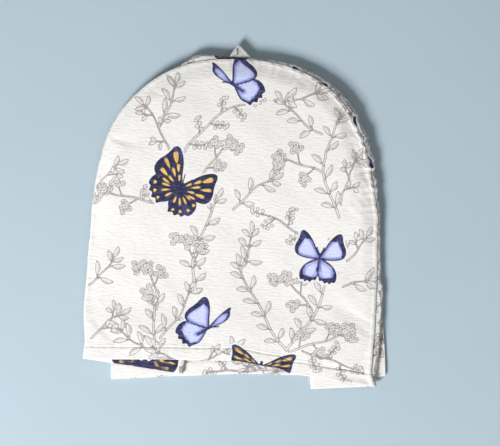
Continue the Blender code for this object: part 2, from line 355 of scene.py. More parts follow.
def lower_run_height(y: np.ndarray) -> np.ndarray:
    """Middle of the strip's lower layer, which lies on the back panel."""
    return 1.5 * CLOTH + GAP + 1.5 * hem_lift(y)


def upper_run_height(y: np.ndarray) -> np.ndarray:
    """Middle of the strip's upper layer."""
    return lower_run_height(y) + FOLD_SPACE


def seam_height(x: np.ndarray, y: np.ndarray) -> np.ndarray:
    """Middle of the strip where it hangs from the front's edge."""
    wall = LEFT_WALL + (RIGHT_WALL - LEFT_WALL) * ramp(x, *WALL_RISE_X)
    return upper_run_height(y) + wall + ARCH_WALL * ramp(y, *WALL_RISE_Y)


def crease_depth(table: Sequence[Crease], x: np.ndarray, y: np.ndarray) -> np.ndarray:
    """How far a table's creases lower the cloth at each point.

    Args:
        table: the creases.
        x: places across the plain front.
        y: places up it.

    Returns:
        Their depths added up.
    """
    total = np.zeros_like(x)
    for crease in table:
        run_x, run_y = crease.x1 - crease.x0, crease.y1 - crease.y0
        length = math.hypot(run_x, run_y)
        along = ((x - crease.x0) * run_x + (y - crease.y0) * run_y) / length
        aside = ((x - crease.x0) * run_y - (y - crease.y0) * run_x) / length
        ends = ramp(along, -crease.width, crease.width)
        ends *= 1.0 - ramp(along, length - crease.width, length + crease.width)
        total += crease.depth * ends * np.exp(-((aside / crease.width) ** 2))
    return total


def front_height(x: np.ndarray, y: np.ndarray) -> np.ndarray:
    """Middle of the front panel, which crowns over the folds beneath it.

    Args:
        x: places across the plain front.
        y: places up it.

    Returns:
        Heights above the table.
    """
    edge = seam_height(x, y) + CLOTH + GAP + hem_lift(y)
    crown = CROWN_AT_HEM + (CROWN_AT_ARCH - CROWN_AT_HEM) * ramp(y, *CROWN_RISE_Y)
    rise = ramp(edge_distance(x, y), 0.0, EDGE_ROLL)
    middle = ramp(x, *MIDDLE_LEFT_X) * (1.0 - ramp(x, *MIDDLE_RIGHT_X))
    sag = MIDDLE_SAG * middle * (1.0 - ramp(y, *SAG_END_Y))
    return edge + rise * (crown - sag - crease_depth(CREASES, x, y))


class Wave(NamedTuple):
    """One soft swell of the lying cloth: its direction, length, height and phase."""

    heading: float
    length: float
    height: float
    phase: float


SWELLS = (
    Wave(18.0, 92.0, 0.34, 0.4),
    Wave(74.0, 71.0, 0.26, 1.9),
    Wave(131.0, 57.0, 0.20, 4.1),
    Wave(160.0, 43.0, 0.13, 2.7),
    Wave(48.0, 31.0, 0.08, 5.2),
)
PUCKERS = (
    Wave(0.0, 13.0, 0.16, 0.0),
    Wave(0.0, 8.7, 0.12, 1.3),
    Wave(0.0, 29.0, 0.22, 2.1),
)


def swell(x: np.ndarray, y: np.ndarray) -> np.ndarray:
    """Broad unevenness of cloth that isn't pressed flat.

    Args:
        x: places across the plain front.
        y: places up it.

    Returns:
        Heights about nought.
    """
    total = np.zeros_like(x)
    for wave in SWELLS:
        turn = math.radians(wave.heading)
        along = x * math.cos(turn) + y * math.sin(turn)
        total += wave.height * np.sin(2.0 * math.pi * along / wave.length + wave.phase)
    return total


def pucker(way: np.ndarray) -> np.ndarray:
    """Small gathers that sewing leaves along a seam or a hem.

    Args:
        way: lengths along the sewing.

    Returns:
        Heights about nought.
    """
    total = np.zeros_like(way)
    for wave in PUCKERS:
        total += wave.height * np.sin(2.0 * math.pi * way / wave.length + wave.phase)
    return total


# Sewing and small folds of the dressed front
STITCH_LINE = 15.6
STITCH_GROOVE = 0.95
STITCH_GROOVE_REACH = 0.85
HEM_PUCKER_REACH = 5.0
SWELL_FROM_EDGE = 9.0
SWELL_FROM_HEM = (-4.0, 10.0)
GATHER_X = (-60.0, 90.0)
GATHER_Y = (130.0, 250.0)
GATHER_REACH = 7.0
GATHER_WIDER = 6.0
GATHER_HIGHER = 2.6
GATHER_START = 2.5
BEAD = 0.2
BEAD_RISE = 0.45
BEAD_RISE_X = (60.0, 150.0)
BEAD_INSET = 2.6
BEAD_REACH = 1.5

# Rows of a hem from its edge, close together where it rounds off and where it is sewn
HEM_EDGE_ROWS = (0.0, 0.2, 0.5, 0.9)
HEM_ROWS = np.arange(1.9, 14.0, 1.5)
STITCH_ROWS = np.array([-0.9, -0.3, 0.3, 0.9])
HEM_STEP_ROWS = np.array([0.5, 1.0, 2.0])


def front_surface(x: np.ndarray, y: np.ndarray, from_hem: np.ndarray) -> np.ndarray:
    """Middle of the dressed front: the plain height with its fine folds and sewing.

    Args:
        x: places across the plain front.
        y: places up it.
        from_hem: distances from the hem's lower edge.

    Returns:
        Heights above the table.
    """
    edge = edge_distance(x, y)
    inside = ramp(edge, 0.0, SWELL_FROM_EDGE)
    height = front_height(x, y)
    height += inside * ramp(from_hem, *SWELL_FROM_HEM) * swell(x, y)
    height -= inside * crease_depth(FINE_CREASES, x, y)
    arch = ramp(y, *GATHER_Y) * ramp(x, *GATHER_X)
    gather = (1.0 + GATHER_HIGHER * arch) * np.exp(-edge / (GATHER_REACH + GATHER_WIDER * arch))
    height += pucker(way_round(x, y)) * gather * ramp(edge, 0.0, GATHER_START)
    bead = BEAD + BEAD_RISE * ramp(x, *BEAD_RISE_X)
    height += bead * np.exp(-(((edge - BEAD_INSET) / BEAD_REACH) ** 2))
    height -= EDGE_DROP * (1.0 - ramp(edge, 0.0, EDGE_DROP_REACH))
    at_stitches = np.abs(from_hem - STITCH_LINE)
    height -= STITCH_GROOVE * np.exp(-((at_stitches / STITCH_GROOVE_REACH) ** 2))
    height += pucker(x + 60.0) * np.exp(-at_stitches / HEM_PUCKER_REACH) * inside
    return height


class Kind(Enum):
    """What a sprig bears."""

    LEAFY = "leafy"
    BERRIES = "berries"
    BLOSSOM = "blossom"
    SPRAY = "spray"


class Sprig(NamedTuple):
    """One printed sprig: where its stem starts, how it grows and what it bears."""

    x: float
    y: float
    heading: float
    bend: float
    length: float
    width: float
    kind: Kind


class Pose(Enum):
    """How a printed butterfly holds its wings."""

    TILTED = "tilted"
    OPEN = "open"
    SPREAD = "spread"
    PERCHED = "perched"


class Insect(NamedTuple):
    """One printed butterfly: its place, turn, size, pose and colours."""

    x: float
    y: float
    turn: float
    size: float
    pose: Pose
    mirrored: bool
    blue: bool


class Wing(NamedTuple):
    """A wing as drawn: its outline, heading, length, breadth, and if its front is on the right."""

    outline: str
    heading: float
    length: float
    breadth: float
    flip: bool


# Outlines run from a wing's root at 0, 0 along X to its tip, with the front edge above
WING_OUTLINES = {
    "fore": ((0.0, 0.03), (0.28, 0.16), (0.58, 0.28), (0.83, 0.32), (0.97, 0.29), (1.0, 0.20),
             (0.93, 0.07), (0.88, -0.06), (0.85, -0.18), (0.76, -0.32), (0.60, -0.38),
             (0.38, -0.30), (0.14, -0.13)),
    "hind": ((0.0, 0.03), (0.20, 0.24), (0.46, 0.38), (0.72, 0.38), (0.91, 0.25), (0.99, 0.09),
             (0.92, 0.0), (0.96, -0.12), (0.85, -0.17), (0.86, -0.31), (0.73, -0.33),
             (0.69, -0.46), (0.55, -0.42), (0.34, -0.38), (0.13, -0.18)),
}
POSES = {
    Pose.TILTED: (
        Wing("hind", 176.0, 0.78, 0.86, True),
        Wing("hind", -76.0, 0.70, 0.86, False),
        Wing("fore", 111.0, 1.00, 1.16, True),
        Wing("fore", 5.0, 0.98, 1.04, False),
    ),
    Pose.OPEN: (
        Wing("hind", 237.0, 0.92, 0.72, True),
        Wing("hind", -57.0, 0.92, 0.72, False),
        Wing("fore", 141.0, 1.06, 1.08, True),
        Wing("fore", 39.0, 1.06, 1.08, False),
    ),
    Pose.SPREAD: (
        Wing("hind", 218.0, 0.80, 0.84, True),
        Wing("hind", -38.0, 0.80, 0.84, False),
        Wing("fore", 163.0, 1.00, 0.80, True),
        Wing("fore", 17.0, 1.00, 0.80, False),
    ),
    Pose.PERCHED: (
        Wing("fore", 141.0, 1.04, 0.42, True),
        Wing("hind", -14.0, 1.06, 1.00, False),
        Wing("fore", 63.0, 1.00, 1.34, False),
    ),
}


# Which way each pose's body points, in degrees, and its parts as shares of a wing's length
FACINGS = {Pose.TILTED: 52.0, Pose.OPEN: 90.0, Pose.SPREAD: 90.0, Pose.PERCHED: 150.0}
TAIL = 0.36
HEAD = 0.15
BODY_HALF = 0.038
FEELER_START = 0.12
FEELER_END = 0.40
FEELER_LEANS = (-17.0, 17.0)
FEELER_HALF = 0.72

# Dark margin of a blue wing at its root and how much more it has at its tip, as shares
MARGIN = 0.05
MARGIN_MORE = 0.17
MARGIN_RISE = (0.5, 0.95)
WING_RIM = 0.7
WING_SURROUND = 2.5


class Fleck(NamedTuple):
    """A yellow fleck of a wing: place along a ray from its root, and half its size."""

    reach: float
    ray: float
    longer: float
    shorter: float


FLECKS = {
    "fore": (Fleck(0.76, 12.0, 0.140, 0.044), Fleck(0.68, -5.0, 0.135, 0.030),
             Fleck(0.50, 15.0, 0.100, 0.028), Fleck(0.54, -20.0, 0.120, 0.034),
             Fleck(0.42, 2.0, 0.120, 0.024), Fleck(0.36, -36.0, 0.100, 0.028),
             Fleck(0.30, -17.0, 0.100, 0.022), Fleck(0.26, 18.0, 0.080, 0.022)),
    "hind": (Fleck(0.72, 25.0, 0.055, 0.042), Fleck(0.79, 9.0, 0.055, 0.042),
             Fleck(0.77, -8.0, 0.055, 0.040), Fleck(0.71, -25.0, 0.050, 0.038),
             Fleck(0.38, 30.0, 0.130, 0.028), Fleck(0.42, 11.0, 0.145, 0.026),
             Fleck(0.42, -8.0, 0.145, 0.026), Fleck(0.36, -29.0, 0.120, 0.028)),
}

FRONT_SPRIGS = (
    Sprig(-95.0, 4.0, 80.0, 24.0, 78.0, 3.4, Kind.LEAFY),
    Sprig(-90.0, 66.0, 92.0, 40.0, 56.0, 2.6, Kind.BLOSSOM),
    Sprig(-86.0, 30.0, 44.0, 34.0, 74.0, 2.6, Kind.LEAFY),
    Sprig(-96.0, 12.0, 158.0, -24.0, 50.0, 2.4, Kind.LEAFY),
    Sprig(-44.0, 88.0, 98.0, -42.0, 124.0, 3.4, Kind.LEAFY),
    Sprig(-2.0, 194.0, 52.0, -28.0, 66.0, 2.8, Kind.LEAFY),
    Sprig(-40.0, 118.0, 132.0, -36.0, 38.0, 2.2, Kind.BLOSSOM),
    Sprig(-66.0, 262.0, 62.0, -46.0, 104.0, 3.2, Kind.BERRIES),
    Sprig(-42.0, 232.0, 62.0, -22.0, 56.0, 2.6, Kind.BLOSSOM),
    Sprig(-98.0, 296.0, 60.0, 26.0, 54.0, 2.6, Kind.LEAFY),
    Sprig(-82.0, 256.0, 108.0, 26.0, 74.0, 2.6, Kind.SPRAY),
    Sprig(-92.0, 198.0, 178.0, -16.0, 76.0, 2.8, Kind.BLOSSOM),
    Sprig(-174.0, 214.0, 62.0, -30.0, 38.0, 2.2, Kind.SPRAY),
    Sprig(71.0, 24.0, 130.0, -18.0, 120.0, 3.4, Kind.LEAFY),
    Sprig(10.0, 118.0, 66.0, 26.0, 50.0, 2.4, Kind.LEAFY),
    Sprig(72.0, 22.0, 54.0, 30.0, 150.0, 3.6, Kind.LEAFY),
    Sprig(104.0, 66.0, 122.0, 20.0, 58.0, 2.6, Kind.BLOSSOM),
    Sprig(76.0, 20.0, 16.0, 12.0, 78.0, 2.8, Kind.BLOSSOM),
    Sprig(92.0, 22.0, -12.0, -6.0, 62.0, 2.2, Kind.BERRIES),
    Sprig(131.0, 190.0, 116.0, -54.0, 132.0, 3.4, Kind.LEAFY),
    Sprig(108.0, 292.0, 152.0, -20.0, 68.0, 2.6, Kind.LEAFY),
    Sprig(112.0, 244.0, 158.0, 16.0, 60.0, 2.6, Kind.BLOSSOM),
    Sprig(134.0, 206.0, 74.0, -8.0, 62.0, 2.4, Kind.SPRAY),
    Sprig(94.0, 158.0, 140.0, 22.0, 64.0, 2.6, Kind.BERRIES),
    Sprig(142.0, 136.0, 48.0, 14.0, 40.0, 2.2, Kind.SPRAY),
    Sprig(138.0, 104.0, 24.0, -20.0, 34.0, 2.2, Kind.LEAFY),
    Sprig(-176.0, 92.0, 40.0, 24.0, 46.0, 2.2, Kind.LEAFY),
    Sprig(-172.0, 26.0, 52.0, -24.0, 50.0, 2.4, Kind.SPRAY),
    Sprig(-40.0, 2.0, 20.0, 14.0, 54.0, 2.2, Kind.SPRAY),
    Sprig(-62.0, 2.0, 150.0, 20.0, 30.0, 2.2, Kind.LEAFY),
    Sprig(46.0, 330.0, 4.0, 22.0, 56.0, 2.4, Kind.LEAFY),
)
BACK_SPRIGS = FRONT_SPRIGS + (
    Sprig(-98.0, 9.0, -4.0, 6.0, 66.0, 2.6, Kind.LEAFY),
    Sprig(-22.0, 10.0, -4.0, 8.0, 60.0, 2.4, Kind.BERRIES),
)
FRONT_INSECTS = (
    Insect(-71.0, 216.0, 0.0, 51.0, Pose.TILTED, False, False),
    Insect(-8.0, 347.0, 0.0, 38.0, Pose.PERCHED, False, True),
    Insect(108.0, 137.0, -4.0, 38.0, Pose.OPEN, False, True),
    Insect(-27.0, 44.0, 0.0, 38.0, Pose.PERCHED, True, True),
    Insect(42.0, -1.0, -7.0, 45.0, Pose.SPREAD, False, False),
)
BACK_INSECTS = (
    Insect(-70.0, 250.0, 20.0, 50.0, Pose.TILTED, True, False),
    Insect(70.0, 170.0, 0.0, 38.0, Pose.PERCHED, False, True),
    Insect(-40.0, 90.0, 15.0, 40.0, Pose.OPEN, False, True),
    Insect(80.0, 300.0, 0.0, 38.0, Pose.PERCHED, True, True),
    Insect(70.0, 66.0, -10.0, 50.0, Pose.TILTED, False, False),
)
STRIP_INSECTS = (
    Insect(3.0, 76.0, -90.0, 49.0, Pose.SPREAD, False, False),
    Insect(477.0, 3.0, 0.0, 21.0, Pose.SPREAD, False, False),
    Insect(575.0, -12.6, 0.0, 31.0, Pose.SPREAD, False, True),
    Insect(697.0, -15.5, 0.0, 40.0, Pose.SPREAD, False, True),
    Insect(300.0, 110.0, 40.0, 46.0, Pose.TILTED, False, False),
    Insect(820.0, 110.0, -40.0, 40.0, Pose.OPEN, False, True),
)

# Distance kept where nothing is near, and a floret's petals and eye as shares of its radius
FAR = 9.0
PETALS = 5
PETAL = 0.44
FLORET_EYE = 0.34


def smooth_loop(points: Sequence[tuple[float, float]], steps: int) -> np.ndarray:
    """Closed curve through points, with so many steps between each two of them.

    Args:
        points: the curve's knots.
        steps: points to each span.

    Returns:
        The curve's points, in order.
    """
    knots = np.array(points, float)
    share = np.linspace(0.0, 1.0, steps, endpoint=False)[:, None]
    before, after = np.roll(knots, 1, 0), np.roll(knots, -1, 0)
    later = np.roll(knots, -2, 0)
    spans = []
    for a, b, c, d in zip(before, knots, after, later):
        bend = 2.0 * b + (c - a) * share + (2.0 * a - 5.0 * b + 4.0 * c - d) * share**2
        spans.append(0.5 * (bend + (3.0 * b - a - 3.0 * c + d) * share**3))
    return np.concatenate(spans)


def segment_distance(x: np.ndarray, y: np.ndarray, first: np.ndarray, last: np.ndarray
                     ) -> tuple[np.ndarray, np.ndarray]:
    """Distance to a straight segment and how far along it the nearest place is.

    Args:
        x: places across.
        y: places up.
        first: the segment's start.
        last: its end.

    Returns:
        The distances, and the nearest places as shares of the segment.
    """
    run = last - first
    across, up = x - first[0], y - first[1]
    share = np.clip((across * run[0] + up * run[1]) / (run @ run), 0.0, 1.0)
    return np.hypot(across - share * run[0], up - share * run[1]), share


def loop_distance(loop: np.ndarray, x: np.ndarray, y: np.ndarray) -> np.ndarray:
    """Signed distance to a closed loop, negative inside it.

    Args:
        loop: its points, in order.
        x: places across.
        y: places up.

    Returns:
        The distances.
    """
    nearest = np.full(x.shape, np.inf)
    inside = np.zeros(x.shape, bool)
    for first, last in zip(loop, np.roll(loop, -1, 0)):
        nearest = np.minimum(nearest, segment_distance(x, y, first, last)[0])
        (x0, y0), (x1, y1) = first, last
        if y0 != y1:
            crosses = (y0 > y) != (y1 > y)
            inside ^= crosses & (x < x0 + (x1 - x0) * (y - y0) / (y1 - y0))
    return np.where(inside, -nearest, nearest)


@dataclass
class Sheet:
    """Flat places of a cloth's points, and the inks that the print leaves there."""

    x: np.ndarray
    y: np.ndarray
    sprig: np.ndarray = field(init=False)
    shade: np.ndarray = field(init=False)
    wing: np.ndarray = field(init=False)
    spot: np.ndarray = field(init=False)
    ray: np.ndarray = field(init=False)
    blue: np.ndarray = field(init=False)

    def __post_init__(self) -> None:
        """Starts with bare cloth."""
        self.x, self.y = self.x.ravel(), self.y.ravel()
        for name in ("sprig", "wing", "spot"):
            setattr(self, name, np.full(self.x.shape, FAR))
        for name in ("shade", "ray", "blue"):
            setattr(self, name, np.zeros(self.x.shape))

    def near(self, x: float, y: float, reach: float) -> np.ndarray:
        """Indices of the points within reach of a place along both axes."""
        close = (np.abs(self.x - x) < reach) & (np.abs(self.y - y) < reach)
        return np.nonzero(close)[0]

    def lay(self, near: np.ndarray, gap: np.ndarray, shade: np.ndarray | float) -> None:
        """Draws a shape over what is there, so that its outline stays whole.

        Args:
            near: indices of the points about it.
            gap: their signed distances to it.
            shade: how dark the ink is inside it.
        """
        old = self.sprig[near]
        outside = np.where(old < 0.0, np.maximum(old, -gap), np.minimum(old, gap))
        taken = (gap < 0.0) | ((old > gap) & (gap < 1.8))
        self.shade[near] = np.where(taken, shade, self.shade[near])
        self.sprig[near] = np.where(gap < 0.0, gap, outside)

    def berry(self, x: float, y: float, radius: float) -> None:
        """Draws a round berry, darker on its right.

        Args:
            x: place across the flat cloth.
            y: place up it.
            radius: its radius.
        """
        near = self.near(x, y, radius + 3.0)
        gap = np.hypot(self.x[near] - x, self.y[near] - y) - radius
        self.lay(near, gap, np.where(self.x[near] > x + 0.3 * radius, 0.7, 0.1))

    def petals(self, across: np.ndarray, up: np.ndarray, size: float, turn: float) -> np.ndarray:
        """Distance to the nearest of a floret's round petals.

        Args:
            across: places across from its middle.
            up: places up from its middle.
            size: its radius.
            turn: direction of its first petal, in degrees.

        Returns:
            The signed distances.
        """
        gap = np.full(across.shape, FAR)
        for petal in range(PETALS):
            angle = math.radians(turn + 360.0 / PETALS * petal)
            reach = (1.0 - PETAL) * size
            away = np.hypot(across - reach * math.cos(angle), up - reach * math.sin(angle))
            gap = np.minimum(gap, away - PETAL * size)
        return gap

    def floret(self, x: float, y: float, size: float, turn: float) -> None:
        """Draws a small flower of five round petals about a dark middle.

        Args:
            x: place across the flat cloth.
            y: place up it.
            size: its radius.
            turn: direction of its first petal, in degrees.
        """
        near = self.near(x, y, size + 3.0)
        across, up = self.x[near] - x, self.y[near] - y
        middle = np.hypot(across, up) < FLORET_EYE * size
        self.lay(near, self.petals(across, up, size, turn), np.where(middle, 0.9, 0.3))

    def leaf(self, x: float, y: float, heading: float, length: float, breadth: float) -> None:
        """Draws a pointed leaf, one half of it hatched, in a heading in degrees.

        Args:
            x: place of its root across the flat cloth.
            y: place up it.
            heading: its direction, in degrees.
            length: from root to tip.
            breadth: at its middle.
        """
        turn = math.radians(heading)
        cos, sin = math.cos(turn), math.sin(turn)
        middle = (x + 0.5 * length * cos, y + 0.5 * length * sin)
        near = self.near(*middle, 0.5 * length + 3.0)
        along = (self.x[near] - middle[0]) * cos + (self.y[near] - middle[1]) * sin
        aside = (self.y[near] - middle[1]) * cos - (self.x[near] - middle[0]) * sin
        aside = aside + 0.09 * length * (1.0 - (2.0 * along / length) ** 2) - 0.05 * length
        offset = (length**2 - breadth**2) / (4.0 * breadth)
        radius = offset + 0.5 * breadth
        gap = np.hypot(along, np.abs(aside) + offset) - radius
        self.lay(near, gap, np.where(aside < 0.0, 0.62, 0.1))

    def stem(self, points: np.ndarray, start: float, end: float, shade: float) -> None:
        """Draws a stem along points that thins from its start's width to its end's.

        Args:
            points: places on the flat cloth, in order.
            start: its first width.
            end: its last width.
            shade: how dark its inside is.
        """
        low, high = points.min(0) - 3.0, points.max(0) + 3.0
        close = (self.x > low[0]) & (self.x < high[0]) & (self.y > low[1]) & (self.y < high[1])
        near = np.nonzero(close)[0]
        gap = np.full(near.shape, FAR)
        for index, (first, last) in enumerate(zip(points, points[1:])):
            away, share = segment_distance(self.x[near], self.y[near], first, last)
            half = 0.5 * (start + (end - start) * (index + share) / (len(points) - 1))
            gap = np.minimum(gap, away - half)
        self.lay(near, gap, shade)

    def feeler(self, points: np.ndarray, half: float) -> None:
        """Draws a butterfly's body or feeler in dark ink along two points.

        Args:
            points: its two ends.
            half: half its width.
        """
        first, last = points
        near = self.near(*(0.5 * (first + last)), 0.5 * np.abs(last - first).max() + FAR)
        gap = segment_distance(self.x[near], self.y[near], first, last)[0] - half
        self.spot[near] = np.maximum(self.spot[near], -gap)
        self.wing[near] = np.minimum(self.wing[near], gap)


Span = tuple[float, float]


@dataclass(frozen=True)
class Habit:
    """How the sprigs' parts vary, least and most, in millimetres and degrees."""

    leaf_lean: Span = (38.0, 60.0)
    leaf_length: Span = (13.5, 18.0)
    leaf_breadth: Span = (5.8, 7.0)
    leaf_turn: Span = (-12.0, 12.0)
    leaf_stalk: float = 4.0
    paired: float = 0.4
    twig_bend: Span = (-30.0, 30.0)
    berry_twig: Span = (17.0, 25.0)
    berry_lean: float = 56.0
    berry_side: float = 74.0
    berry_reach: Span = (2.2, 4.6)
    berry_radius: Span = (1.9, 2.4)
    flower_twig: Span = (15.0, 22.0)
    flower_lean: float = 50.0
    floret: Span = (3.3, 4.0)
    floret_turn: float = 137.5
    spray_lean: float = 48.0
    spray_twig: float = 13.0
    small_lean: float = 52.0
    small_stalk: float = 1.5
    small_leaf: Span = (9.0, 4.6)
    small_tip: Span = (10.0, 4.8)
    twig_widths: Span = (1.3, 1.2)
    twig_head: tuple[float, int] = (8.2, 6)
    stalk_widths: Span = (1.2, 1.2)
    line_ink: float = 0.9
    stem_ink: float = 0.25
    berry_pitch: float = 3.4
    end_berry: float = 2.2
    end_head: tuple[float, int] = (9.2, 8)
    end_twig: float = 18.0
    end_leans: Span = (-46.0, 44.0)
    end_stalk: float = 2.6
    end_pair: Span = (13.0, 5.6)
    end_leaf: Span = (15.0, 6.0)
    step: float = 6.0
    wobble: float = 9.0


@dataclass
class Printer:
    """Draws sprigs and butterflies on a sheet, with a seeded hand."""

    sheet: Sheet
    seed: int
    habit: Habit = Habit()

    def __post_init__(self) -> None:
        """Sets the hand that varies leaves and petals."""
        self.hand = np.random.default_rng(self.seed)

    def vary(self, span: Span) -> float:
        """A value drawn evenly from a span."""
        return self.hand.uniform(*span)

    def course(self, sprig: Sprig) -> tuple[np.ndarray, np.ndarray]:
        """Points along a sprig's stem and its heading at each, in degrees.

        Args:
            sprig: the sprig.

        Returns:
            The points, and a heading for each.
        """
        steps = max(6, int(sprig.length / self.habit.step))
        share = np.linspace(0.0, 1.0, steps + 1)
        wobble = self.habit.wobble * np.sin(share * 9.0 + sprig.x)
        heading = sprig.heading + sprig.bend * share + wobble
        turn = np.radians(heading[:-1])
        step = sprig.length / steps
        run = np.stack([np.cos(turn), np.sin(turn)], 1) * step
        points = np.concatenate([[(sprig.x, sprig.y)], np.cumsum(run, 0) + (sprig.x, sprig.y)])
        return points, heading

    def cluster(self, x: float, y: float, size: float, count: int) -> None:
        """Draws a round head of so many florets.

        Args:
            x: place across the flat cloth.
            y: place up it.
            size: about its radius.
            count: how many florets.
        """
        start = self.hand.uniform(0.0, 360.0)
        for index in reversed(range(count)):
            turn = math.radians(start + self.habit.floret_turn * index)
            reach = size * math.sqrt(index / count) * self.hand.uniform(0.85, 1.1)
            self.sheet.floret(x + reach * math.cos(turn), y + reach * math.sin(turn),
                              self.vary(self.habit.floret), self.hand.uniform(0.0, 72.0))

    def stalked(self, x: float, y: float, heading: float, stalk: float, length: float,
                breadth: float) -> None:
        """Draws a leaf on its stalk.

        Args:
            x: place of the stalk's foot across the cloth.
            y: place up it.
            heading: its direction, in degrees.
            stalk: the stalk's length.
            length: the leaf's length.
            breadth: the leaf's breadth.
        """
        turn = math.radians(heading)
        ends = np.array([(x, y), (x + stalk * math.cos(turn), y + stalk * math.sin(turn))])
        self.sheet.stem(ends, *self.habit.stalk_widths, self.habit.line_ink)
        self.sheet.leaf(*ends[1], heading + self.vary(self.habit.leaf_turn), length, breadth)

    def twig(self, x: float, y: float, heading: float, length: float, kind: Kind) -> None:
        """Draws a side twig with what the sprig bears.

        Args:
            x: place of its foot across the cloth.
            y: place up it.
            heading: its direction, in degrees.
            length: its length.
            kind: what it bears.
        """
        habit = self.habit
        part = Sprig(x, y, heading, self.vary(habit.twig_bend), length, 1.4, kind)
        points, headings = self.course(part)
        self.sheet.stem(points, *habit.twig_widths, habit.line_ink)
        tip, lean = points[-1], headings[-1]
        if kind is Kind.BLOSSOM:
            self.cluster(*tip, *habit.twig_head)
        elif kind is Kind.BERRIES:
            steps = np.linspace(0.25, 1.0, max(4, int(length / habit.berry_pitch)))
            places = [np.interp(steps, np.linspace(0.0, 1.0, len(points)), points[:, axis])
                      for axis in (0, 1)]
            for index, place in enumerate(zip(*places)):
                turn = math.radians(lean + (1.0 if index % 2 else -1.0) * habit.berry_side)
                reach = self.vary(habit.berry_reach)
                self.sheet.berry(place[0] + reach * math.cos(turn),
                                 place[1] + reach * math.sin(turn), self.vary(habit.berry_radius))
            self.sheet.berry(*tip, habit.end_berry)
        else:
            for place, side in ((points[len(points) // 2], 1.0), (points[-2], -1.0)):
                self.stalked(*place, lean + side * habit.small_lean, habit.small_stalk,
                             *habit.small_leaf)
            self.sheet.leaf(*tip, lean, *habit.small_tip)

    def sprig(self, sprig: Sprig) -> None:
        """Draws a whole sprig: its stem, then leaves, twigs, berries or flower heads.

        Args:
            sprig: the sprig.
        """
        habit = self.habit
        points, headings = self.course(sprig)
        self.sheet.stem(points, 0.86 * sprig.width, 0.5 * sprig.width + 0.2, habit.stem_ink)
        side = 1.0 if sprig.bend > 0.0 else -1.0
        for index in range(2, len(points) - 1):
            place, way = points[index], headings[index]
            if sprig.kind is Kind.LEAFY and index % 3 == 2:
                for part in (1.0, -1.0) if self.hand.uniform() < habit.paired else (1.0,):
                    lean = way + part * side * self.vary(habit.leaf_lean)
                    self.stalked(*place, lean, habit.leaf_stalk, self.vary(habit.leaf_length),
                                 self.vary(habit.leaf_breadth))
            elif sprig.kind is Kind.BERRIES and index % 3 == 2:
                self.twig(*place, way + side * habit.berry_lean, self.vary(habit.berry_twig),
                          Kind.BERRIES)
            elif sprig.kind is Kind.BLOSSOM and index % 3 == 2:
                self.twig(*place, way + side * habit.flower_lean, self.vary(habit.flower_twig),
                          Kind.BLOSSOM)
            elif sprig.kind is Kind.SPRAY and index % 3 == 0:
                self.twig(*place, way + side * habit.spray_lean, habit.spray_twig, Kind.SPRAY)
            else:
                continue
            side = -side
        tip, way = points[-1], headings[-1]
        if sprig.kind is Kind.BLOSSOM:
            self.cluster(*tip, *habit.end_head)
        elif sprig.kind is Kind.BERRIES:
            self.twig(*tip, way, habit.end_twig, Kind.BERRIES)
        else:
            for lean in habit.end_leans:
                self.stalked(*points[-2], way + lean, habit.end_stalk, *habit.end_pair)
            self.sheet.leaf(*tip, way, *habit.end_leaf)

    def insect(self, insect: Insect) -> None:
        """Draws a butterfly over the sprigs.

        Args:
            insect: the butterfly.
        """
        sheet = self.sheet
        mirror = -1.0 if insect.mirrored else 1.0
        near = sheet.near(insect.x, insect.y, 1.25 * insect.size)
        if not len(near):
            return
        x, y = sheet.x[near] - insect.x, sheet.y[near] - insect.y
        turn = math.radians(-insect.turn)
        x, y = x * math.cos(turn) - y * math.sin(turn), x * math.sin(turn) + y * math.cos(turn)
        x = x * mirror
        wing, spot, ray = sheet.wing[near], sheet.spot[near], sheet.ray[near]
        union = np.full(near.shape, FAR)
        for row in POSES[insect.pose]:
            scale = np.array([row.length, row.breadth]) * insect.size
            lean = math.radians(-row.heading)
            along = x * math.cos(lean) - y * math.sin(lean)
            aside = x * math.sin(lean) + y * math.cos(lean)
            aside = -aside if row.flip else aside
            own = loop_distance(smooth_loop(WING_OUTLINES[row.outline], 3) * scale, along, aside)
            angle = np.arctan2(aside / row.breadth, np.maximum(along / row.length, 1e-3))
            if insect.blue:
                outer = ramp(along, MARGIN_RISE[0] * scale[0], MARGIN_RISE[1] * scale[0])
                margin = (MARGIN + MARGIN_MORE * outer) * insect.size
                light = own + margin * min(1.0, 1.2 * row.breadth)
            else:
                light = np.full(own.shape, FAR)
                for fleck in FLECKS[row.outline]:
                    turn = math.radians(fleck.ray)
                    u = along / scale[0] * math.cos(turn) + aside / scale[1] * math.sin(turn)
                    v = aside / scale[1] * math.cos(turn) - along / scale[0] * math.sin(turn)
                    u = (u - fleck.reach) / fleck.longer
                    v = v / (fleck.shorter * np.clip(1.1 + 0.5 * u, 0.4, 1.8))
                    level = np.cbrt(np.abs(u) ** 3 + np.abs(v) ** 3) - 1.0
                    light = np.minimum(light, level * fleck.shorter * scale[1])
            over = own < 0.0
            spot = np.where(over, np.maximum(light, own + WING_RIM), spot)
            ray = np.where(over | (own < wing), angle + 0.7 * row.length, ray)
            wing = np.minimum(wing, own)
            union = np.minimum(union, own)
        near_wings = union < WING_SURROUND
        sheet.blue[near] = np.where(near_wings, float(insect.blue), sheet.blue[near])
        sheet.wing[near], sheet.spot[near], sheet.ray[near] = wing, spot, ray
        self.body(insect, mirror)

    def body(self, insect: Insect, mirror: float) -> None:
        """Draws a butterfly's body and its two feelers.

        Args:
            insect: the butterfly.
            mirror: minus one where it is mirrored.
        """
        facing = FACINGS[insect.pose]
        heading = insect.turn + (facing if mirror > 0.0 else 180.0 - facing)
        middle = np.array([insect.x, insect.y])
        size = insect.size

        def reach(lean: float, length: float) -> np.ndarray:
            """Place so many sizes away at a lean from the butterfly's heading."""
            turn = math.radians(heading + lean)
            return middle + length * size * np.array([math.cos(turn), math.sin(turn)])

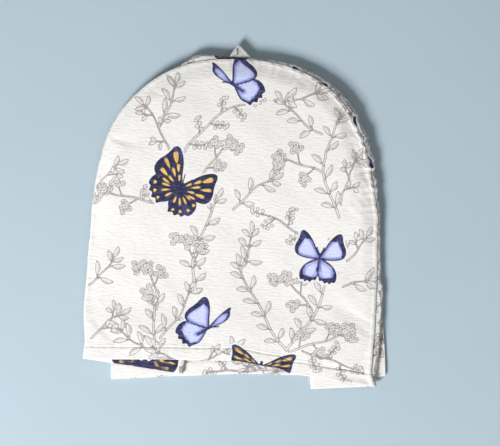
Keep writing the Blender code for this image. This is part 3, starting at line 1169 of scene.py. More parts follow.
        self.sheet.feeler(np.array([reach(180.0, TAIL), reach(0.0, HEAD)]), BODY_HALF * size)
        for lean in () if insect.pose is Pose.SPREAD else FEELER_LEANS:
            ends = np.array([reach(0.0, FEELER_START), reach(lean, FEELER_END)])
            self.sheet.feeler(ends, FEELER_HALF)


def printed(x: np.ndarray, y: np.ndarray, sprigs: Sequence[Sprig],
            insects: Sequence[Insect], seed: int) -> Sheet:
    """Prints sprigs and butterflies on flat cloth.

    Args:
        x: places of the cloth's points across the flat cloth.
        y: their places up the flat cloth.
        sprigs: what is drawn first.
        insects: what is drawn over it.
        seed: sets the hand that varies the drawing.

    Returns:
        The sheet with its inks.
    """
    sheet = Sheet(x, y)
    printer = Printer(sheet, seed)
    for sprig in sprigs:
        printer.sprig(sprig)
    for insect in insects:
        printer.insect(insect)
    clear = ramp(sheet.wing, 0.4, 2.4)
    sheet.sprig = sheet.sprig * clear + FAR * (1.0 - clear)
    return sheet


class Value:
    """A shader value that takes part in Python arithmetic."""

    def __init__(self, tree: "Tree", socket: bpy.types.NodeSocket) -> None:
        """Wraps a socket of a tree."""
        self.tree, self.socket = tree, socket

    def maths(self, operation: str, *others: "Value | float") -> "Value":
        """Adds a Math node that works on this value and others."""
        return self.tree.node("ShaderNodeMath", {"operation": operation}, self, *others)

    def __add__(self, other: "Value | float") -> "Value":
        """Sum."""
        return self.maths("ADD", other)

    __radd__ = __add__

    def __mul__(self, other: "Value | float") -> "Value":
        """Product."""
        return self.maths("MULTIPLY", other)

    __rmul__ = __mul__

    def __sub__(self, other: "Value | float") -> "Value":
        """Difference."""
        return self.maths("SUBTRACT", other)

    def __rsub__(self, other: float) -> "Value":
        """Difference from a number."""
        return self.tree.node("ShaderNodeMath", {"operation": "SUBTRACT"}, other, self)

    def __neg__(self) -> "Value":
        """The value turned round."""
        return self * -1.0

    def __abs__(self) -> "Value":
        """Its size without sign."""
        return self.maths("ABSOLUTE")

    def rise(self, start: float, end: float, low: float = 0.0, high: float = 1.0) -> "Value":
        """Smooth step from low at start to high at end."""
        settings = {"interpolation_type": "SMOOTHSTEP", "clamp": True}
        return self.tree.node("ShaderNodeMapRange", settings, self, start, end, low, high)

    def at_most(self, other: "Value | float") -> "Value":
        """The smaller of two."""
        return self.maths("MINIMUM", other)

    def at_least(self, other: "Value | float") -> "Value":
        """The larger of two."""
        return self.maths("MAXIMUM", other)


@dataclass
class Tree:
    """Node tree of one material, with one method that adds any node."""

    material: bpy.types.Material

    def __post_init__(self) -> None:
        """Turns on nodes and finds the shader."""
        self.material.use_nodes = True
        self.nodes = self.material.node_tree.nodes
        self.links = self.material.node_tree.links
        self.shader = self.nodes["Principled BSDF"]

    def feed(self, socket: bpy.types.NodeSocket, value: object) -> None:
        """Links a value to a socket, or sets a plain number, vector or colour on it.

        Args:
            socket: the input.
            value: what goes to it, or None to leave it.
        """
        if isinstance(value, Value):
            self.links.new(value.socket, socket)
        elif value is not None:
            socket.default_value = value

    def node(self, kind: str, settings: dict, *values: object, output: str | int = 0,
             **named: object) -> Value:
        """Adds a node.

        Args:
            kind: the node's type.
            settings: its properties, set first.
            values: what goes to its shown inputs, in order.
            output: name or place of the output to return.
            named: what goes to inputs by identifier.

        Returns:
            The output, wrapped.
        """
        made = self.nodes.new(kind)
        for name, setting in settings.items():
            setattr(made, name, setting)
        shown = [socket for socket in made.inputs if socket.enabled]
        for socket, value in zip(shown, values):
            self.feed(socket, value)
        for socket in made.inputs:
            if socket.identifier in named:
                self.feed(socket, named[socket.identifier])
        outputs = [socket for socket in made.outputs if socket.enabled]
        chosen = outputs[output] if isinstance(output, int) else made.outputs[output]
        return Value(self, chosen)

    def mix(self, share: Value | float, first: object, second: object) -> Value:
        """Mixes two colours."""
        named = {"Factor_Float": share, "A_Color": first, "B_Color": second}
        return self.node("ShaderNodeMix", {"data_type": "RGBA"}, **named)

    def attribute(self, name: str) -> tuple[Value, Value, Value]:
        """The three parts of a vector attribute."""
        held = self.node("ShaderNodeAttribute", {"attribute_name": name}, output="Vector")
        return tuple(self.node("ShaderNodeSeparateXYZ", {}, held, output=axis) for axis in "XYZ")

    def noise(self, place: Value, scale: float, detail: float, rough: float = 0.5) -> Value:
        """Noise between 0 and 1 about one half."""
        return self.node("ShaderNodeTexNoise", {}, place, scale, detail, rough, output="Fac")

    def place(self, x: Value | float, y: Value | float, z: Value | float = 0.0) -> Value:
        """A vector made from three values."""
        return self.node("ShaderNodeCombineXYZ", {}, x, y, z)

    def bump(self, height: Value, strength: float, distance: float) -> Value:
        """Normal that height, in millimetres, gives."""
        named = {"Strength": strength, "Distance": distance, "Height": height}
        return self.node("ShaderNodeBump", {}, **named)


Colour = tuple[float, float, float, float]


def colour(red: float, green: float, blue: float) -> Colour:
    """An opaque colour in linear light."""
    return red, green, blue, 1.0


@dataclass(frozen=True)
class Canvas:
    """Off-white slub canvas, printed on one side with sprigs and butterflies."""

    name: str
    ground: Colour = colour(0.84, 0.825, 0.80)
    warm: Colour = colour(0.81, 0.785, 0.745)
    # Painted shade for the furrows between the slubs; the weft's darker tone uses it too
    shaded_furrow: Colour = colour(0.64, 0.62, 0.595)
    sprig_ink: Colour = colour(0.25, 0.215, 0.22)
    navy: Colour = colour(0.014, 0.015, 0.062)
    navy_light: Colour = colour(0.066, 0.066, 0.225)
    yellow: Colour = colour(0.80, 0.53, 0.12)
    amber: Colour = colour(0.66, 0.37, 0.08)
    lilac: Colour = colour(0.22, 0.25, 0.62)
    pale: Colour = colour(0.60, 0.65, 0.90)
    ghost: float = 0.14
    slub_scale: Span = (0.11, 0.43)
    warp_scale: Span = (0.55, 0.05)
    weft_scale: Span = (0.12, 1.1)
    mottle_scale: float = 0.012
    yarn_scale: float = 5.2
    warm_share: float = 0.5
    furrow_shade_share: float = 0.24
    weft_share: float = 0.08
    outline: Span = (0.18, 0.68)
    outline_ink: float = 0.95
    worn_sprigs: float = 0.78
    worn_wings: float = 0.92
    wing_edge: Span = (0.4, -0.3)
    slub_relief: float = -0.68
    weft_relief: float = 0.24
    warp_relief: float = 0.12
    yarn_relief: float = 0.02
    roughness: Span = (0.84, 0.96)
    specular: float = 0.25
    sheen: float = 0.12
    sheen_roughness: float = 0.6

    def weave(self, tree: Tree, across: Value, up: Value) -> tuple[Value, Value, Value]:
        """Noise of the slubs, the warp and the weft, each drawn out along its yarns.

        Args:
            tree: the material's nodes.
            across: place across the flat cloth.
            up: place up it.

        Returns:
            The three noises, between 0 and 1.
        """
        rows = ((self.slub_scale, 3.0, 0.55), (self.warp_scale, 2.0, 0.5),
                (self.weft_scale, 1.0, 0.5))
        return tuple(tree.noise(tree.place(across * scale[0], up * scale[1]), 1.0, detail, rough)
                     for scale, detail, rough in rows)

    def cloth(self, tree: Tree, across: Value, up: Value, slub: Value, weft: Value) -> Value:
        """Colour of the bare cloth: painted shade in the furrows between its slubs, a darker tone
        on the weft, and warmer broad patches.

        Args:
            tree: the material's nodes.
            across: place across the flat cloth.
            up: place up it.
            slub: noise of the slubs.
            weft: noise of the weft.

        Returns:
            The colour.
        """
        broad = tree.place(across * self.mottle_scale, up * self.mottle_scale)
        mottle = tree.noise(broad, 1.0, 2.0)
        ground = tree.mix(mottle.rise(0.3, 0.8, 0.0, self.warm_share), self.ground, self.warm)
        # Painted shade where the slub noise sinks the bump into furrows, plus a darker tone where
        # the weft noise is high
        thread = (slub.rise(0.42, 0.66, 0.0, self.furrow_shade_share)
                  + weft.rise(0.4, 0.7, 0.0, self.weft_share))
        return tree.mix(thread, ground, self.shaded_furrow)

    def sprigs(self, tree: Tree, place: tuple[Value, Value], edge: Value, shade: Value,
               slub: Value) -> Value:
        """How much sprig ink there is: outlines, and hatching where a shape is shaded.

        Args:
            tree: the material's nodes.
            place: places across and up the flat cloth.
            edge: distance to the drawing's outlines.
            shade: how dark the shape there is.
            slub: noise of the slubs, on which the ink is worn.

        Returns:
            The share of ink.
        """
        across, up = place
        line = abs(edge).rise(*self.outline, self.outline_ink, 0.0)
        hatch = tree.noise(tree.place(across * 0.9 + up * 0.5, up * 0.35 - across * 0.2), 1.0, 1.0)
        fill = edge.rise(0.25, -0.35) * shade * hatch.rise(0.35, 0.62, 0.5, 1.0)
        return line.at_least(fill) * slub.rise(0.3, 0.7, 1.0, self.worn_sprigs)

    def wings(self, tree: Tree, up: Value, blue: Value, spot: Value, ray: Value,
              ragged: Value) -> Value:
        """Colour inside the wings: navy, with yellow flecks or a pale blue field.

        Args:
            tree: the material's nodes.
            up: place up the flat cloth.
            blue: one on a blue butterfly, nought on a navy one.
            spot: distance to the light places.
            ray: angle about the wing's root, along which it is streaked.
            ragged: how far the weave shifts an edge.

        Returns:
            The colour.
        """
        streak = tree.noise(tree.place(ray * 9.0, blue * 3.0, up * 0.02), 1.0, 3.0)
        dark = tree.mix(streak.rise(0.47, 0.68, 0.0, 0.9), self.navy, self.navy_light)
        gold = tree.mix(streak.rise(0.44, 0.64, 0.0, 0.6), self.yellow, self.amber)
        glow = (spot * -0.17 + (streak - 0.5) * 1.8).rise(-0.1, 0.8)
        light = tree.mix(blue.rise(0.4, 0.6), gold, tree.mix(glow, self.lilac, self.pale))
        reach = spot + ragged * (0.6 + blue * 2.4) + (streak - 0.5) * blue * 8.0
        return tree.mix(reach.rise(0.35, -0.45), dark, light)

    def build(self) -> bpy.types.Material:
        """Makes the material.

        Returns:
            A material that reads the attributes flat, print and wings of a sheet.
        """
        tree = Tree(bpy.data.materials.new(self.name))
        across, up, side = tree.attribute("flat")
        sprig, blue, shade = tree.attribute("print")
        wing, spot, ray = tree.attribute("wings")
        slub, warp, weft = self.weave(tree, across, up)
        ragged = (weft - 0.5) * 0.5 + (warp - 0.5) * 0.4
        show = side.rise(0.2, 0.8, self.ghost, 1.0)
        ink = self.sprigs(tree, (across, up), sprig + ragged * 0.5, shade, slub) * show
        drawn = tree.mix(ink, self.cloth(tree, across, up, slub, weft), self.sprig_ink)
        wings = self.wings(tree, up, blue, spot, ray, ragged)
        thin = slub.rise(0.4, 0.8, 1.0, self.worn_wings)
        covered = (wing + ragged * 0.3).rise(*self.wing_edge) * show * thin
        tree.feed(tree.shader.inputs["Base Color"], tree.mix(covered, drawn, wings))
        tree.feed(tree.shader.inputs["Roughness"], slub.rise(0.2, 0.8, *self.roughness))
        yarn, cross = (up * self.yarn_scale).maths("SINE"), (across * self.yarn_scale).maths("SINE")
        relief = (slub * self.slub_relief + weft * self.weft_relief + warp * self.warp_relief
                  + yarn * cross * self.yarn_relief)
        tree.feed(tree.shader.inputs["Normal"], tree.bump(relief, 1.0, MM))
        tree.shader.inputs["Specular IOR Level"].default_value = self.specular
        tree.shader.inputs["Sheen Weight"].default_value = self.sheen
        tree.shader.inputs["Sheen Roughness"].default_value = self.sheen_roughness
        return tree.material


@dataclass(frozen=True)
class Tape:
    """White woven tape with fine ribs along it."""

    name: str = "ribbed_tape"
    pale: Colour = colour(0.80, 0.79, 0.77)
    shade: Colour = colour(0.55, 0.545, 0.53)

    def build(self) -> bpy.types.Material:
        """Makes the material.

        Returns:
            A material that reads the attribute flat.
        """
        tree = Tree(bpy.data.materials.new(self.name))
        across, up, _ = tree.attribute("flat")
        wave = (across * 6.0).maths("SINE")
        wear = tree.noise(tree.place(across * 0.5, up * 0.2), 1.0, 2.0)
        tone = tree.mix(wave.rise(-0.9, 0.9, 0.0, 0.45) * wear.rise(0.2, 0.8, 0.6, 1.0),
                        self.pale, self.shade)
        tree.feed(tree.shader.inputs["Base Color"], tone)
        tree.feed(tree.shader.inputs["Roughness"], wear.rise(0.2, 0.8, 0.75, 0.9))
        tree.feed(tree.shader.inputs["Normal"], tree.bump(wave * 0.12 + wear * 0.1, 0.8, MM))
        return tree.material


@dataclass(frozen=True)
class Thread:
    """Spun sewing thread."""

    name: str
    tone: Colour
    shade: Colour

    def build(self) -> bpy.types.Material:
        """Makes the material.

        Returns:
            A material that reads Object coordinates.
        """
        tree = Tree(bpy.data.materials.new(self.name))
        place = tree.node("ShaderNodeTexCoord", {}, output="Object")
        twist = tree.noise(place, 1900.0, 2.0)
        tree.feed(tree.shader.inputs["Base Color"],
                  tree.mix(twist.rise(0.3, 0.7), self.tone, self.shade))
        tree.feed(tree.shader.inputs["Roughness"], twist.rise(0.2, 0.8, 0.55, 0.8))
        return tree.material


@dataclass(frozen=True)
class Floor:
    """Plain pale matt floor."""

    name: str = "pale_floor"
    tone: Colour = colour(0.45, 0.555, 0.62)

    def build(self) -> bpy.types.Material:
        """Makes the material.

        Returns:
            A material that reads Object coordinates.
        """
        tree = Tree(bpy.data.materials.new(self.name))
        place = tree.node("ShaderNodeTexCoord", {}, output="Object")
        grain = tree.noise(place, 6.0, 2.0)
        paler = tuple(0.94 * part for part in self.tone[:3]) + (1.0,)
        tree.feed(tree.shader.inputs["Base Color"], tree.mix(grain, self.tone, paler))
        tree.shader.inputs["Roughness"].default_value = 0.9
        return tree.material


def square_to_arch(columns: int, rows: int, half_width: float, rise: float,
                   hem: Sequence[HemPoint]) -> tuple[np.ndarray, np.ndarray, np.ndarray]:
    """Grid of a panel's flat points, even across its sides and round its arch.

    Args:
        columns: steps across the panel.
        rows: steps up it.
        half_width: half its breadth.
        rise: height of its arch.
        hem: lower edge of its hem.

    Returns:
        Places across, places up and distances from the hem's edge, as grids of rows.
    """
    near = np.concatenate([HEM_EDGE_ROWS, HEM_ROWS, STITCH_LINE + STITCH_ROWS,
                           HEM_DEPTH + HEM_STEP * HEM_STEP_ROWS])
    rest = rows - len(near) + 1
    straight = round(rest * SIDE_HEIGHT / (SIDE_HEIGHT + rise))
    span = np.linspace(-1.0, 1.0, columns + 1)[None, :]
    foot = read(hem, span * half_width, "height")
    low = foot + near[:, None]
    share = np.linspace(0.0, 1.0, straight + 1)[1:, None]
    side = low[-1:] + (SIDE_HEIGHT - low[-1:]) * share
    up = np.linspace(0.0, 1.0, rest - straight + 1)[1:, None]
    flat = np.ones((len(near) + straight, 1)) * span * half_width
    top_x = half_width * span * (1.0 - 0.5 * up**ARCH_ROUNDNESS) ** (1.0 / ARCH_ROUNDNESS)
    bow = (1.0 - 0.5 * np.abs(span) ** ARCH_ROUNDNESS) ** (1.0 / ARCH_ROUNDNESS)
    x = np.concatenate([flat, top_x])
    y = np.concatenate([low, side, SIDE_HEIGHT + rise * up * bow])
    return x, y, y - read(hem, x, "height")


def grid_normals(grid: np.ndarray) -> np.ndarray:
    """Unit normals of a grid of points, from its neighbours along and across.

    Args:
        grid: rows of points.

    Returns:
        A normal for each point.
    """
    along = np.gradient(grid, axis=1)
    across = np.gradient(grid, axis=0)
    normal = np.cross(along, across)
    return normal / np.linalg.norm(normal, axis=2, keepdims=True)


def closed_sheet(name: str, top: np.ndarray, foot: np.ndarray, coarse: int,
                 fields: dict[str, tuple[np.ndarray, np.ndarray]]) -> bpy.types.Object:
    """Closed mesh between two grids of points.

    Args:
        name: name of the piece.
        top: one face's grid of points, in millimetres.
        foot: the other face's grid, of the same shape.
        coarse: the other face keeps each point of so many.
        fields: vector attributes as grids for both faces, by name.

    Returns:
        The object, its faces pointing out.
    """
    foot = foot[::coarse, ::coarse]
    rows, columns = top.shape[:2]
    count = rows * columns
    points = np.concatenate([top.reshape(-1, 3), foot.reshape(-1, 3)]) * MM
    upper = np.arange(count).reshape(rows, columns)
    lower = count + np.arange(foot.shape[0] * foot.shape[1]).reshape(foot.shape[:2])
    faces = []
    for index, backwards in ((upper, False), (lower, True)):
        quads = np.stack([index[:-1, :-1], index[:-1, 1:], index[1:, 1:], index[1:, :-1]], 2)
        quads = quads.reshape(-1, 4)
        faces += (quads[:, ::-1] if backwards else quads).tolist()
    edges = ((upper[0, ::-1], lower[0, ::-1]), (upper[-1], lower[-1]),
             (upper[:, 0], lower[:, 0]), (upper[::-1, -1], lower[::-1, -1]))
    for fine, plain in edges:
        for step in range(len(plain) - 1):
            run = fine[step * coarse:(step + 1) * coarse + 1].tolist()
            faces.append(run + [int(plain[step + 1]), int(plain[step])])
    mesh = bpy.data.meshes.new(name)
    mesh.from_pydata(points.tolist(), [], faces)
    for field_name, (for_top, for_foot) in fields.items():
        held = mesh.attributes.new(field_name, "FLOAT_VECTOR", "POINT")
        both = np.concatenate([for_top.reshape(-1, 3), for_foot[::coarse, ::coarse].reshape(-1, 3)])
        held.data.foreach_set("vector", both.astype(np.float32).ravel())
    return finished(name, mesh)


def finished(name: str, mesh: bpy.types.Mesh) -> bpy.types.Object:
    """Links a mesh as an object, with its faces outwards and its surface smooth.

    Args:
        name: name of the piece.
        mesh: its mesh.

    Returns:
        The object.
    """
    form = bmesh.new()
    form.from_mesh(mesh)
    bmesh.ops.recalc_face_normals(form, faces=form.faces)
    if form.calc_volume(signed=True) < 0.0:
        bmesh.ops.reverse_faces(form, faces=form.faces)
    form.to_mesh(mesh)
    form.free()
    mesh.shade_smooth()
    mesh.set_sharp_from_angle(angle=math.radians(55.0))
    piece = bpy.data.objects.new(name, mesh)
    bpy.context.scene.collection.objects.link(piece)
    return piece


def sides(x: np.ndarray, y: np.ndarray, top: np.ndarray, foot: np.ndarray
          ) -> tuple[np.ndarray, np.ndarray]:
    """Flat places with each face's share of print, for both faces."""
    return np.stack([x, y, top], 2), np.stack([x, y, foot], 2)


def inked(sheet: Sheet, flat: tuple[np.ndarray, np.ndarray]
          ) -> dict[str, tuple[np.ndarray, np.ndarray]]:
    """Fields that the canvas reads, the same inks on both faces.

    Args:
        sheet: the printed sheet.
        flat: both faces' flat places and shares of print.

    Returns:
        The fields by name, for both faces.
    """
    shape = flat[0].shape
    first = np.stack([sheet.sprig, sheet.blue, sheet.shade], 1).reshape(shape)
    second = np.stack([sheet.wing, sheet.spot, sheet.ray], 1).reshape(shape)
    return {"flat": flat, "print": (first, first), "wings": (second, second)}


@dataclass
class Placer:
    """Moves points from the frame of the hem to the frame of the part."""

    shift: np.ndarray = field(default_factory=lambda: np.zeros(3))

    def match(self, low: Vector, own: np.ndarray) -> None:
        """Sets the shift so that a grid's lowest corner falls on a node's."""
        self.shift = np.array([low.x / MM - own[..., 0].min(), low.y / MM - own[..., 1].min(), 0.0])

    def __call__(self, grid: np.ndarray) -> np.ndarray:
        """The grid moved."""
        return grid + self.shift


@dataclass
class Stitcher:
    """Sews rows of small stitches along paths with a Geometry Nodes tree."""

    pitch: float = 2.9
    length: float = 2.0
    radius: float = 0.26

    def sizes(self) -> dict[str, float]:
        """The tree's inputs, in metres."""
        return {"Pitch": self.pitch * MM, "Length": self.length * MM, "Radius": self.radius * MM}

    def tree(self, material: bpy.types.Material) -> tuple[bpy.types.NodeTree, dict[str, str]]:
        """Makes the tree that sets a stitch at each step of a path.

        Args:
            material: the thread.

        Returns:
            The tree, and its inputs' identifiers by name.
        """
        tree = bpy.data.node_groups.new("running_stitch", "GeometryNodeTree")
        faces = tree.interface
        faces.new_socket(name="Path", in_out="INPUT", socket_type="NodeSocketGeometry")
        names = {}
        for name, value in self.sizes().items():
            socket = faces.new_socket(name=name, in_out="INPUT", socket_type="NodeSocketFloat")
            socket.default_value = value
            names[name] = socket.identifier
        faces.new_socket(name="Stitches", in_out="OUTPUT", socket_type="NodeSocketGeometry")
        kinds = {
            "given": "NodeGroupInput", "result": "NodeGroupOutput",
            "curve": "GeometryNodeMeshToCurve", "steps": "GeometryNodeResampleCurve",
            "tangent": "GeometryNodeInputTangent", "align": "FunctionNodeAlignRotationToVector",
            "ball": "GeometryNodeMeshUVSphere", "half": "ShaderNodeMath",
            "scale": "ShaderNodeCombineXYZ", "copies": "GeometryNodeInstanceOnPoints",
            "real": "GeometryNodeRealizeInstances", "smooth": "GeometryNodeSetShadeSmooth",
            "paint": "GeometryNodeSetMaterial",
        }
        nodes = {name: tree.nodes.new(kind) for name, kind in kinds.items()}
        nodes["steps"].mode = "LENGTH"
        nodes["align"].axis = "X"
        nodes["ball"].inputs["Segments"].default_value = 6
        nodes["ball"].inputs["Rings"].default_value = 5
        nodes["ball"].inputs["Radius"].default_value = 1.0
        nodes["half"].operation = "MULTIPLY"
        nodes["half"].inputs[1].default_value = 0.5
        nodes["paint"].inputs["Material"].default_value = material
        wires = (
            ("given", "Path", "curve", "Mesh"), ("curve", "Curve", "steps", "Curve"),
            ("given", "Pitch", "steps", "Length"), ("tangent", "Tangent", "align", "Vector"),
            ("given", "Length", "half", 0), ("half", "Value", "scale", "X"),
            ("given", "Radius", "scale", "Y"), ("given", "Radius", "scale", "Z"),
            ("steps", "Curve", "copies", "Points"), ("ball", "Mesh", "copies", "Instance"),
            ("align", "Rotation", "copies", "Rotation"), ("scale", "Vector", "copies", "Scale"),
            ("copies", "Instances", "real", "Geometry"), ("real", "Geometry", "smooth", "Geometry"),
            ("smooth", "Geometry", "paint", "Geometry"),
            ("paint", "Geometry", "result", "Stitches"),
        )
        for source, output, target, socket in wires:
            tree.links.new(nodes[source].outputs[output], nodes[target].inputs[socket])
        return tree, names

    def sew(self, name: str, path: np.ndarray, material: bpy.types.Material) -> bpy.types.Object:
        """Sews along a path.

        Args:
            name: name of the piece.
            path: points on the cloth's surface, in millimetres.
            material: the thread.

        Returns:
            One mesh of all the stitches.
        """
        line = bpy.data.meshes.new(name + "_path")
        line.from_pydata((path * MM).tolist(), [(i, i + 1) for i in range(len(path) - 1)], [])
        guide = bpy.data.objects.new(name + "_path", line)
        bpy.context.scene.collection.objects.link(guide)
        tree, names = self.tree(material)
        maker = guide.modifiers.new("stitches", "NODES")
        maker.node_group = tree
        for socket, value in self.sizes().items():
            maker[names[socket]] = value
        made = guide.evaluated_get(bpy.context.evaluated_depsgraph_get())
        mesh = bpy.data.meshes.new_from_object(made)
        bpy.data.objects.remove(guide)
        mesh.name = name
        piece = bpy.data.objects.new(name, mesh)
        bpy.context.scene.collection.objects.link(piece)
        return piece


@dataclass
class FrontPanel:
    """Arched front, its print and its stitched hem."""

    node: str = "front_panel"
    columns: int = 264
    rows: int = 292
    coarse: int = 4
    seed: int = 3

    def build(self, placer: Placer, canvas: bpy.types.Material) -> bpy.types.Object:
        """Makes the sheet and sets the placer by its node.

        Args:
            placer: moves it to the part's frame.
            canvas: the printed cloth.

        Returns:
            The piece.
        """
        x, y, from_hem = square_to_arch(self.columns, self.rows, HALF_WIDTH, ARCH_RISE, FRONT_HEM)
        middle = front_surface(x, y, from_hem)
        half = half_thickness(from_hem) * edge_round(from_hem)
        top = np.stack([swayed(x, y), y, middle + half], 2)
        foot = np.stack([swayed(x, y), y, middle - half], 2)
        placer.match(Vector(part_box(self.node)[0]), top)
        facing = hem_share(from_hem)
        sheet = printed(x, y, FRONT_SPRIGS, FRONT_INSECTS, self.seed)
        fields = inked(sheet, sides(x, y, np.ones_like(x), facing))
        piece = closed_sheet("front_canvas", placer(top), placer(foot), self.coarse, fields)
        piece.data.materials.append(canvas)
        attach(piece, BODY)
        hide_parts(self.node)
        return piece

    def stitch_path(self) -> np.ndarray:
        """Points just above the cloth along the hem's stitches.

        Returns:
            The points, from left to right.
        """
        x = np.linspace(-0.985 * HALF_WIDTH, 0.985 * HALF_WIDTH, 300)
        y = read(FRONT_HEM, x, "height") + STITCH_LINE
        from_hem = np.full_like(x, STITCH_LINE)
        height = front_surface(x, y, from_hem) + half_thickness(from_hem)
        return np.stack([swayed(x, y), y, height + 0.1], 1)


@dataclass
class SideStrip:
    """Long strip between the panels, folded inwards all the way round."""

    node: str = "gusset"
    station_step: float = 2.1
    hem_step: float = 1.5
    wall_points: int = 12
    upper_points: int = 50
    nose_points: int = 9
    lower_points: int = 37
    coarse: int = 2
    seed: int = 11
    bulge_pucker: float = 1.4
    fold_pucker: float = 2.0
    first_sprig: float = 12.0
    sprig_step: float = 33.0
    sprig_count: int = 30
    sprig_length: float = 62.0
    seam_sprig_step: float = 57.0
    seam_sprig_count: int = 17
    seam_sprig_length: float = 46.0
    sprig_width: float = 2.4

    def stations(self) -> np.ndarray:
        """Shares of the way round at which the strip is drawn.

        Returns:
            The shares, from the left hem to the right hem.
        """
        hem_end = HEM_DEPTH + 5.0
        side = SIDE_HEIGHT / SIDE_SHARE
        near = np.concatenate([HEM_EDGE_ROWS, np.arange(1.8, hem_end, self.hem_step)]) / side
        first = hem_end / side
        count = 2 * round(0.5 * SEAM_LENGTH / self.station_step) + 1
        even = np.linspace(first, 1.0 - first, count)
        return np.concatenate([near, even, (1.0 - near)[::-1]])

    @staticmethod
    def arch_edge(along: np.ndarray, half_width: float, rise: float, foot: np.ndarray | float
                  ) -> tuple[np.ndarray, np.ndarray]:
        """Points of an arched panel's edge at shares of the way round.

        Args:
            along: shares of the way round, from the left hem.
            half_width: half the panel's breadth.
            rise: height of its arch.
            foot: height of its hem's ends.

        Returns:
            Places across and places up.
        """
        share = np.clip((along - SIDE_SHARE) / (1.0 - 2.0 * SIDE_SHARE), 0.0, 1.0)
        angle = math.pi * (1.0 - share)
        power = 2.0 / ARCH_ROUNDNESS
        straight = np.clip(np.minimum(along, 1.0 - along) / SIDE_SHARE, 0.0, 1.0)
        arch = SIDE_HEIGHT + rise * np.maximum(0.0, np.sin(angle)) ** power
        side = foot + (SIDE_HEIGHT - foot) * straight
        return half_width * bowed(np.cos(angle), power), np.where(straight < 1.0, side, arch)

    def plain_edge(self, along: np.ndarray) -> np.ndarray:
        """Points of the plain front's edge at shares of the way round."""
        foot = read(FRONT_HEM, np.sign(along - 0.5) * HALF_WIDTH, "height")
        return np.stack(self.arch_edge(along, HALF_WIDTH, ARCH_RISE, foot), 1)

    def back_edge(self, along: np.ndarray) -> np.ndarray:
        """Points of the back's edge, where it lies, at shares of the way round."""
        return np.stack(back_place(*self.arch_edge(along, BACK_HALF_WIDTH, BACK_RISE, 0.0)), 1)

    def middle(self, along: np.ndarray) -> np.ndarray:
        """Middle of the strip: a row for each station, a column for each section point.

        Args:
            along: shares of the way round, from the left hem.

        Returns:
            A grid of points, from the front's edge in to the fold and out to the back's edge.
        """
        edge = self.plain_edge(along)
        before = self.plain_edge(np.maximum(0.0, along - EDGE_STEP))
        after = self.plain_edge(np.minimum(1.0, along + EDGE_STEP))
        way = after - before
        way /= np.linalg.norm(way, axis=1, keepdims=True)
        out = np.stack([-way[:, 1], way[:, 0]], 1)
        edge = np.stack([swayed(edge[:, 0], edge[:, 1]), edge[:, 1]], 1)
        bulge, depth = read(FOLDS, along, "bulge"), read(FOLDS, along, "depth")
        length = along * SEAM_LENGTH
        bulge = bulge + self.bulge_pucker * pucker(length) * ramp(bulge, 1.0, 4.0)
        toward_hem = np.where(along < 0.5, -1.0, 1.0)[:, None] * way
        fold = edge - out * depth[:, None] + toward_hem * read(FOLDS, along, "slip")[:, None]
        gather = self.fold_pucker * pucker(1.7 * length + 30.0) * ramp(along, 0.02, 0.06)
        fold = fold + out * gather[:, None]
        back = self.back_edge(along)
        top = seam_height(edge[:, 0], edge[:, 1]) - EDGE_DROP
        upper = upper_run_height(edge[:, 1])
        arch = ramp(np.minimum(along, 1.0 - along), SIDE_SHARE, RIPPLED_SHARE)
        wave = arch * (0.5 - 0.5 * np.cos(2.0 * math.pi * RIPPLES * along))
        radius = 0.5 * FOLD_SPACE
        inward = (fold - edge) / np.linalg.norm(fold - edge, axis=1, keepdims=True)
        nose = fold - inward * radius
        columns = []
        for turn in np.linspace(0.0, math.pi, self.wall_points):
            place = edge + out * (bulge * math.sin(turn))[:, None]
            columns.append((place, upper + (top - upper) * 0.5 * (1.0 + math.cos(turn))))
        for share in np.linspace(0.0, 1.0, self.upper_points + 1)[1:-1]:
            place = edge + (nose - edge) * share
            lift = RIPPLE * wave * math.sin(math.pi * share)
            columns.append((place, upper_run_height(place[:, 1]) + lift))
        for turn in np.linspace(0.0, math.pi, self.nose_points):
            place = nose + inward * radius * math.sin(turn)
            lift = radius * (1.0 + math.cos(turn))
            columns.append((place, lower_run_height(nose[:, 1]) + lift))
        for share in np.linspace(0.0, 1.0, self.lower_points + 1)[1:]:
            place = nose + (back - nose) * share
            lift = LOWER_RIPPLE * wave * math.sin(math.pi * share)
            columns.append((place, lower_run_height(place[:, 1]) + lift))
        return np.stack([np.column_stack([place, height]) for place, height in columns], 1)

    def sprigs(self) -> list[Sprig]:
        """Sprigs that grow along the strip, one after another.

        Returns:
            The sprigs, placed down and across the flat strip.
        """
        kinds = (Kind.LEAFY, Kind.BERRIES, Kind.SPRAY, Kind.BLOSSOM)
        found = []
        for index in range(self.sprig_count):
            along = self.first_sprig + self.sprig_step * index
            turn, row = index % 2, index % 3
            found.append(Sprig(along, 4.0 + self.sprig_length * row, 40.0 + 100.0 * turn,
                               30.0 - 60.0 * turn, self.sprig_length, self.sprig_width,
                               kinds[index % 4]))
        for index in range(self.seam_sprig_count):
            along = self.first_sprig + self.seam_sprig_step * index
            found.append(Sprig(along, 2.0 + 3.0 * (index % 2), 8.0, -14.0, self.seam_sprig_length,
                               self.sprig_width, kinds[(3 * index) % 4]))
        return found

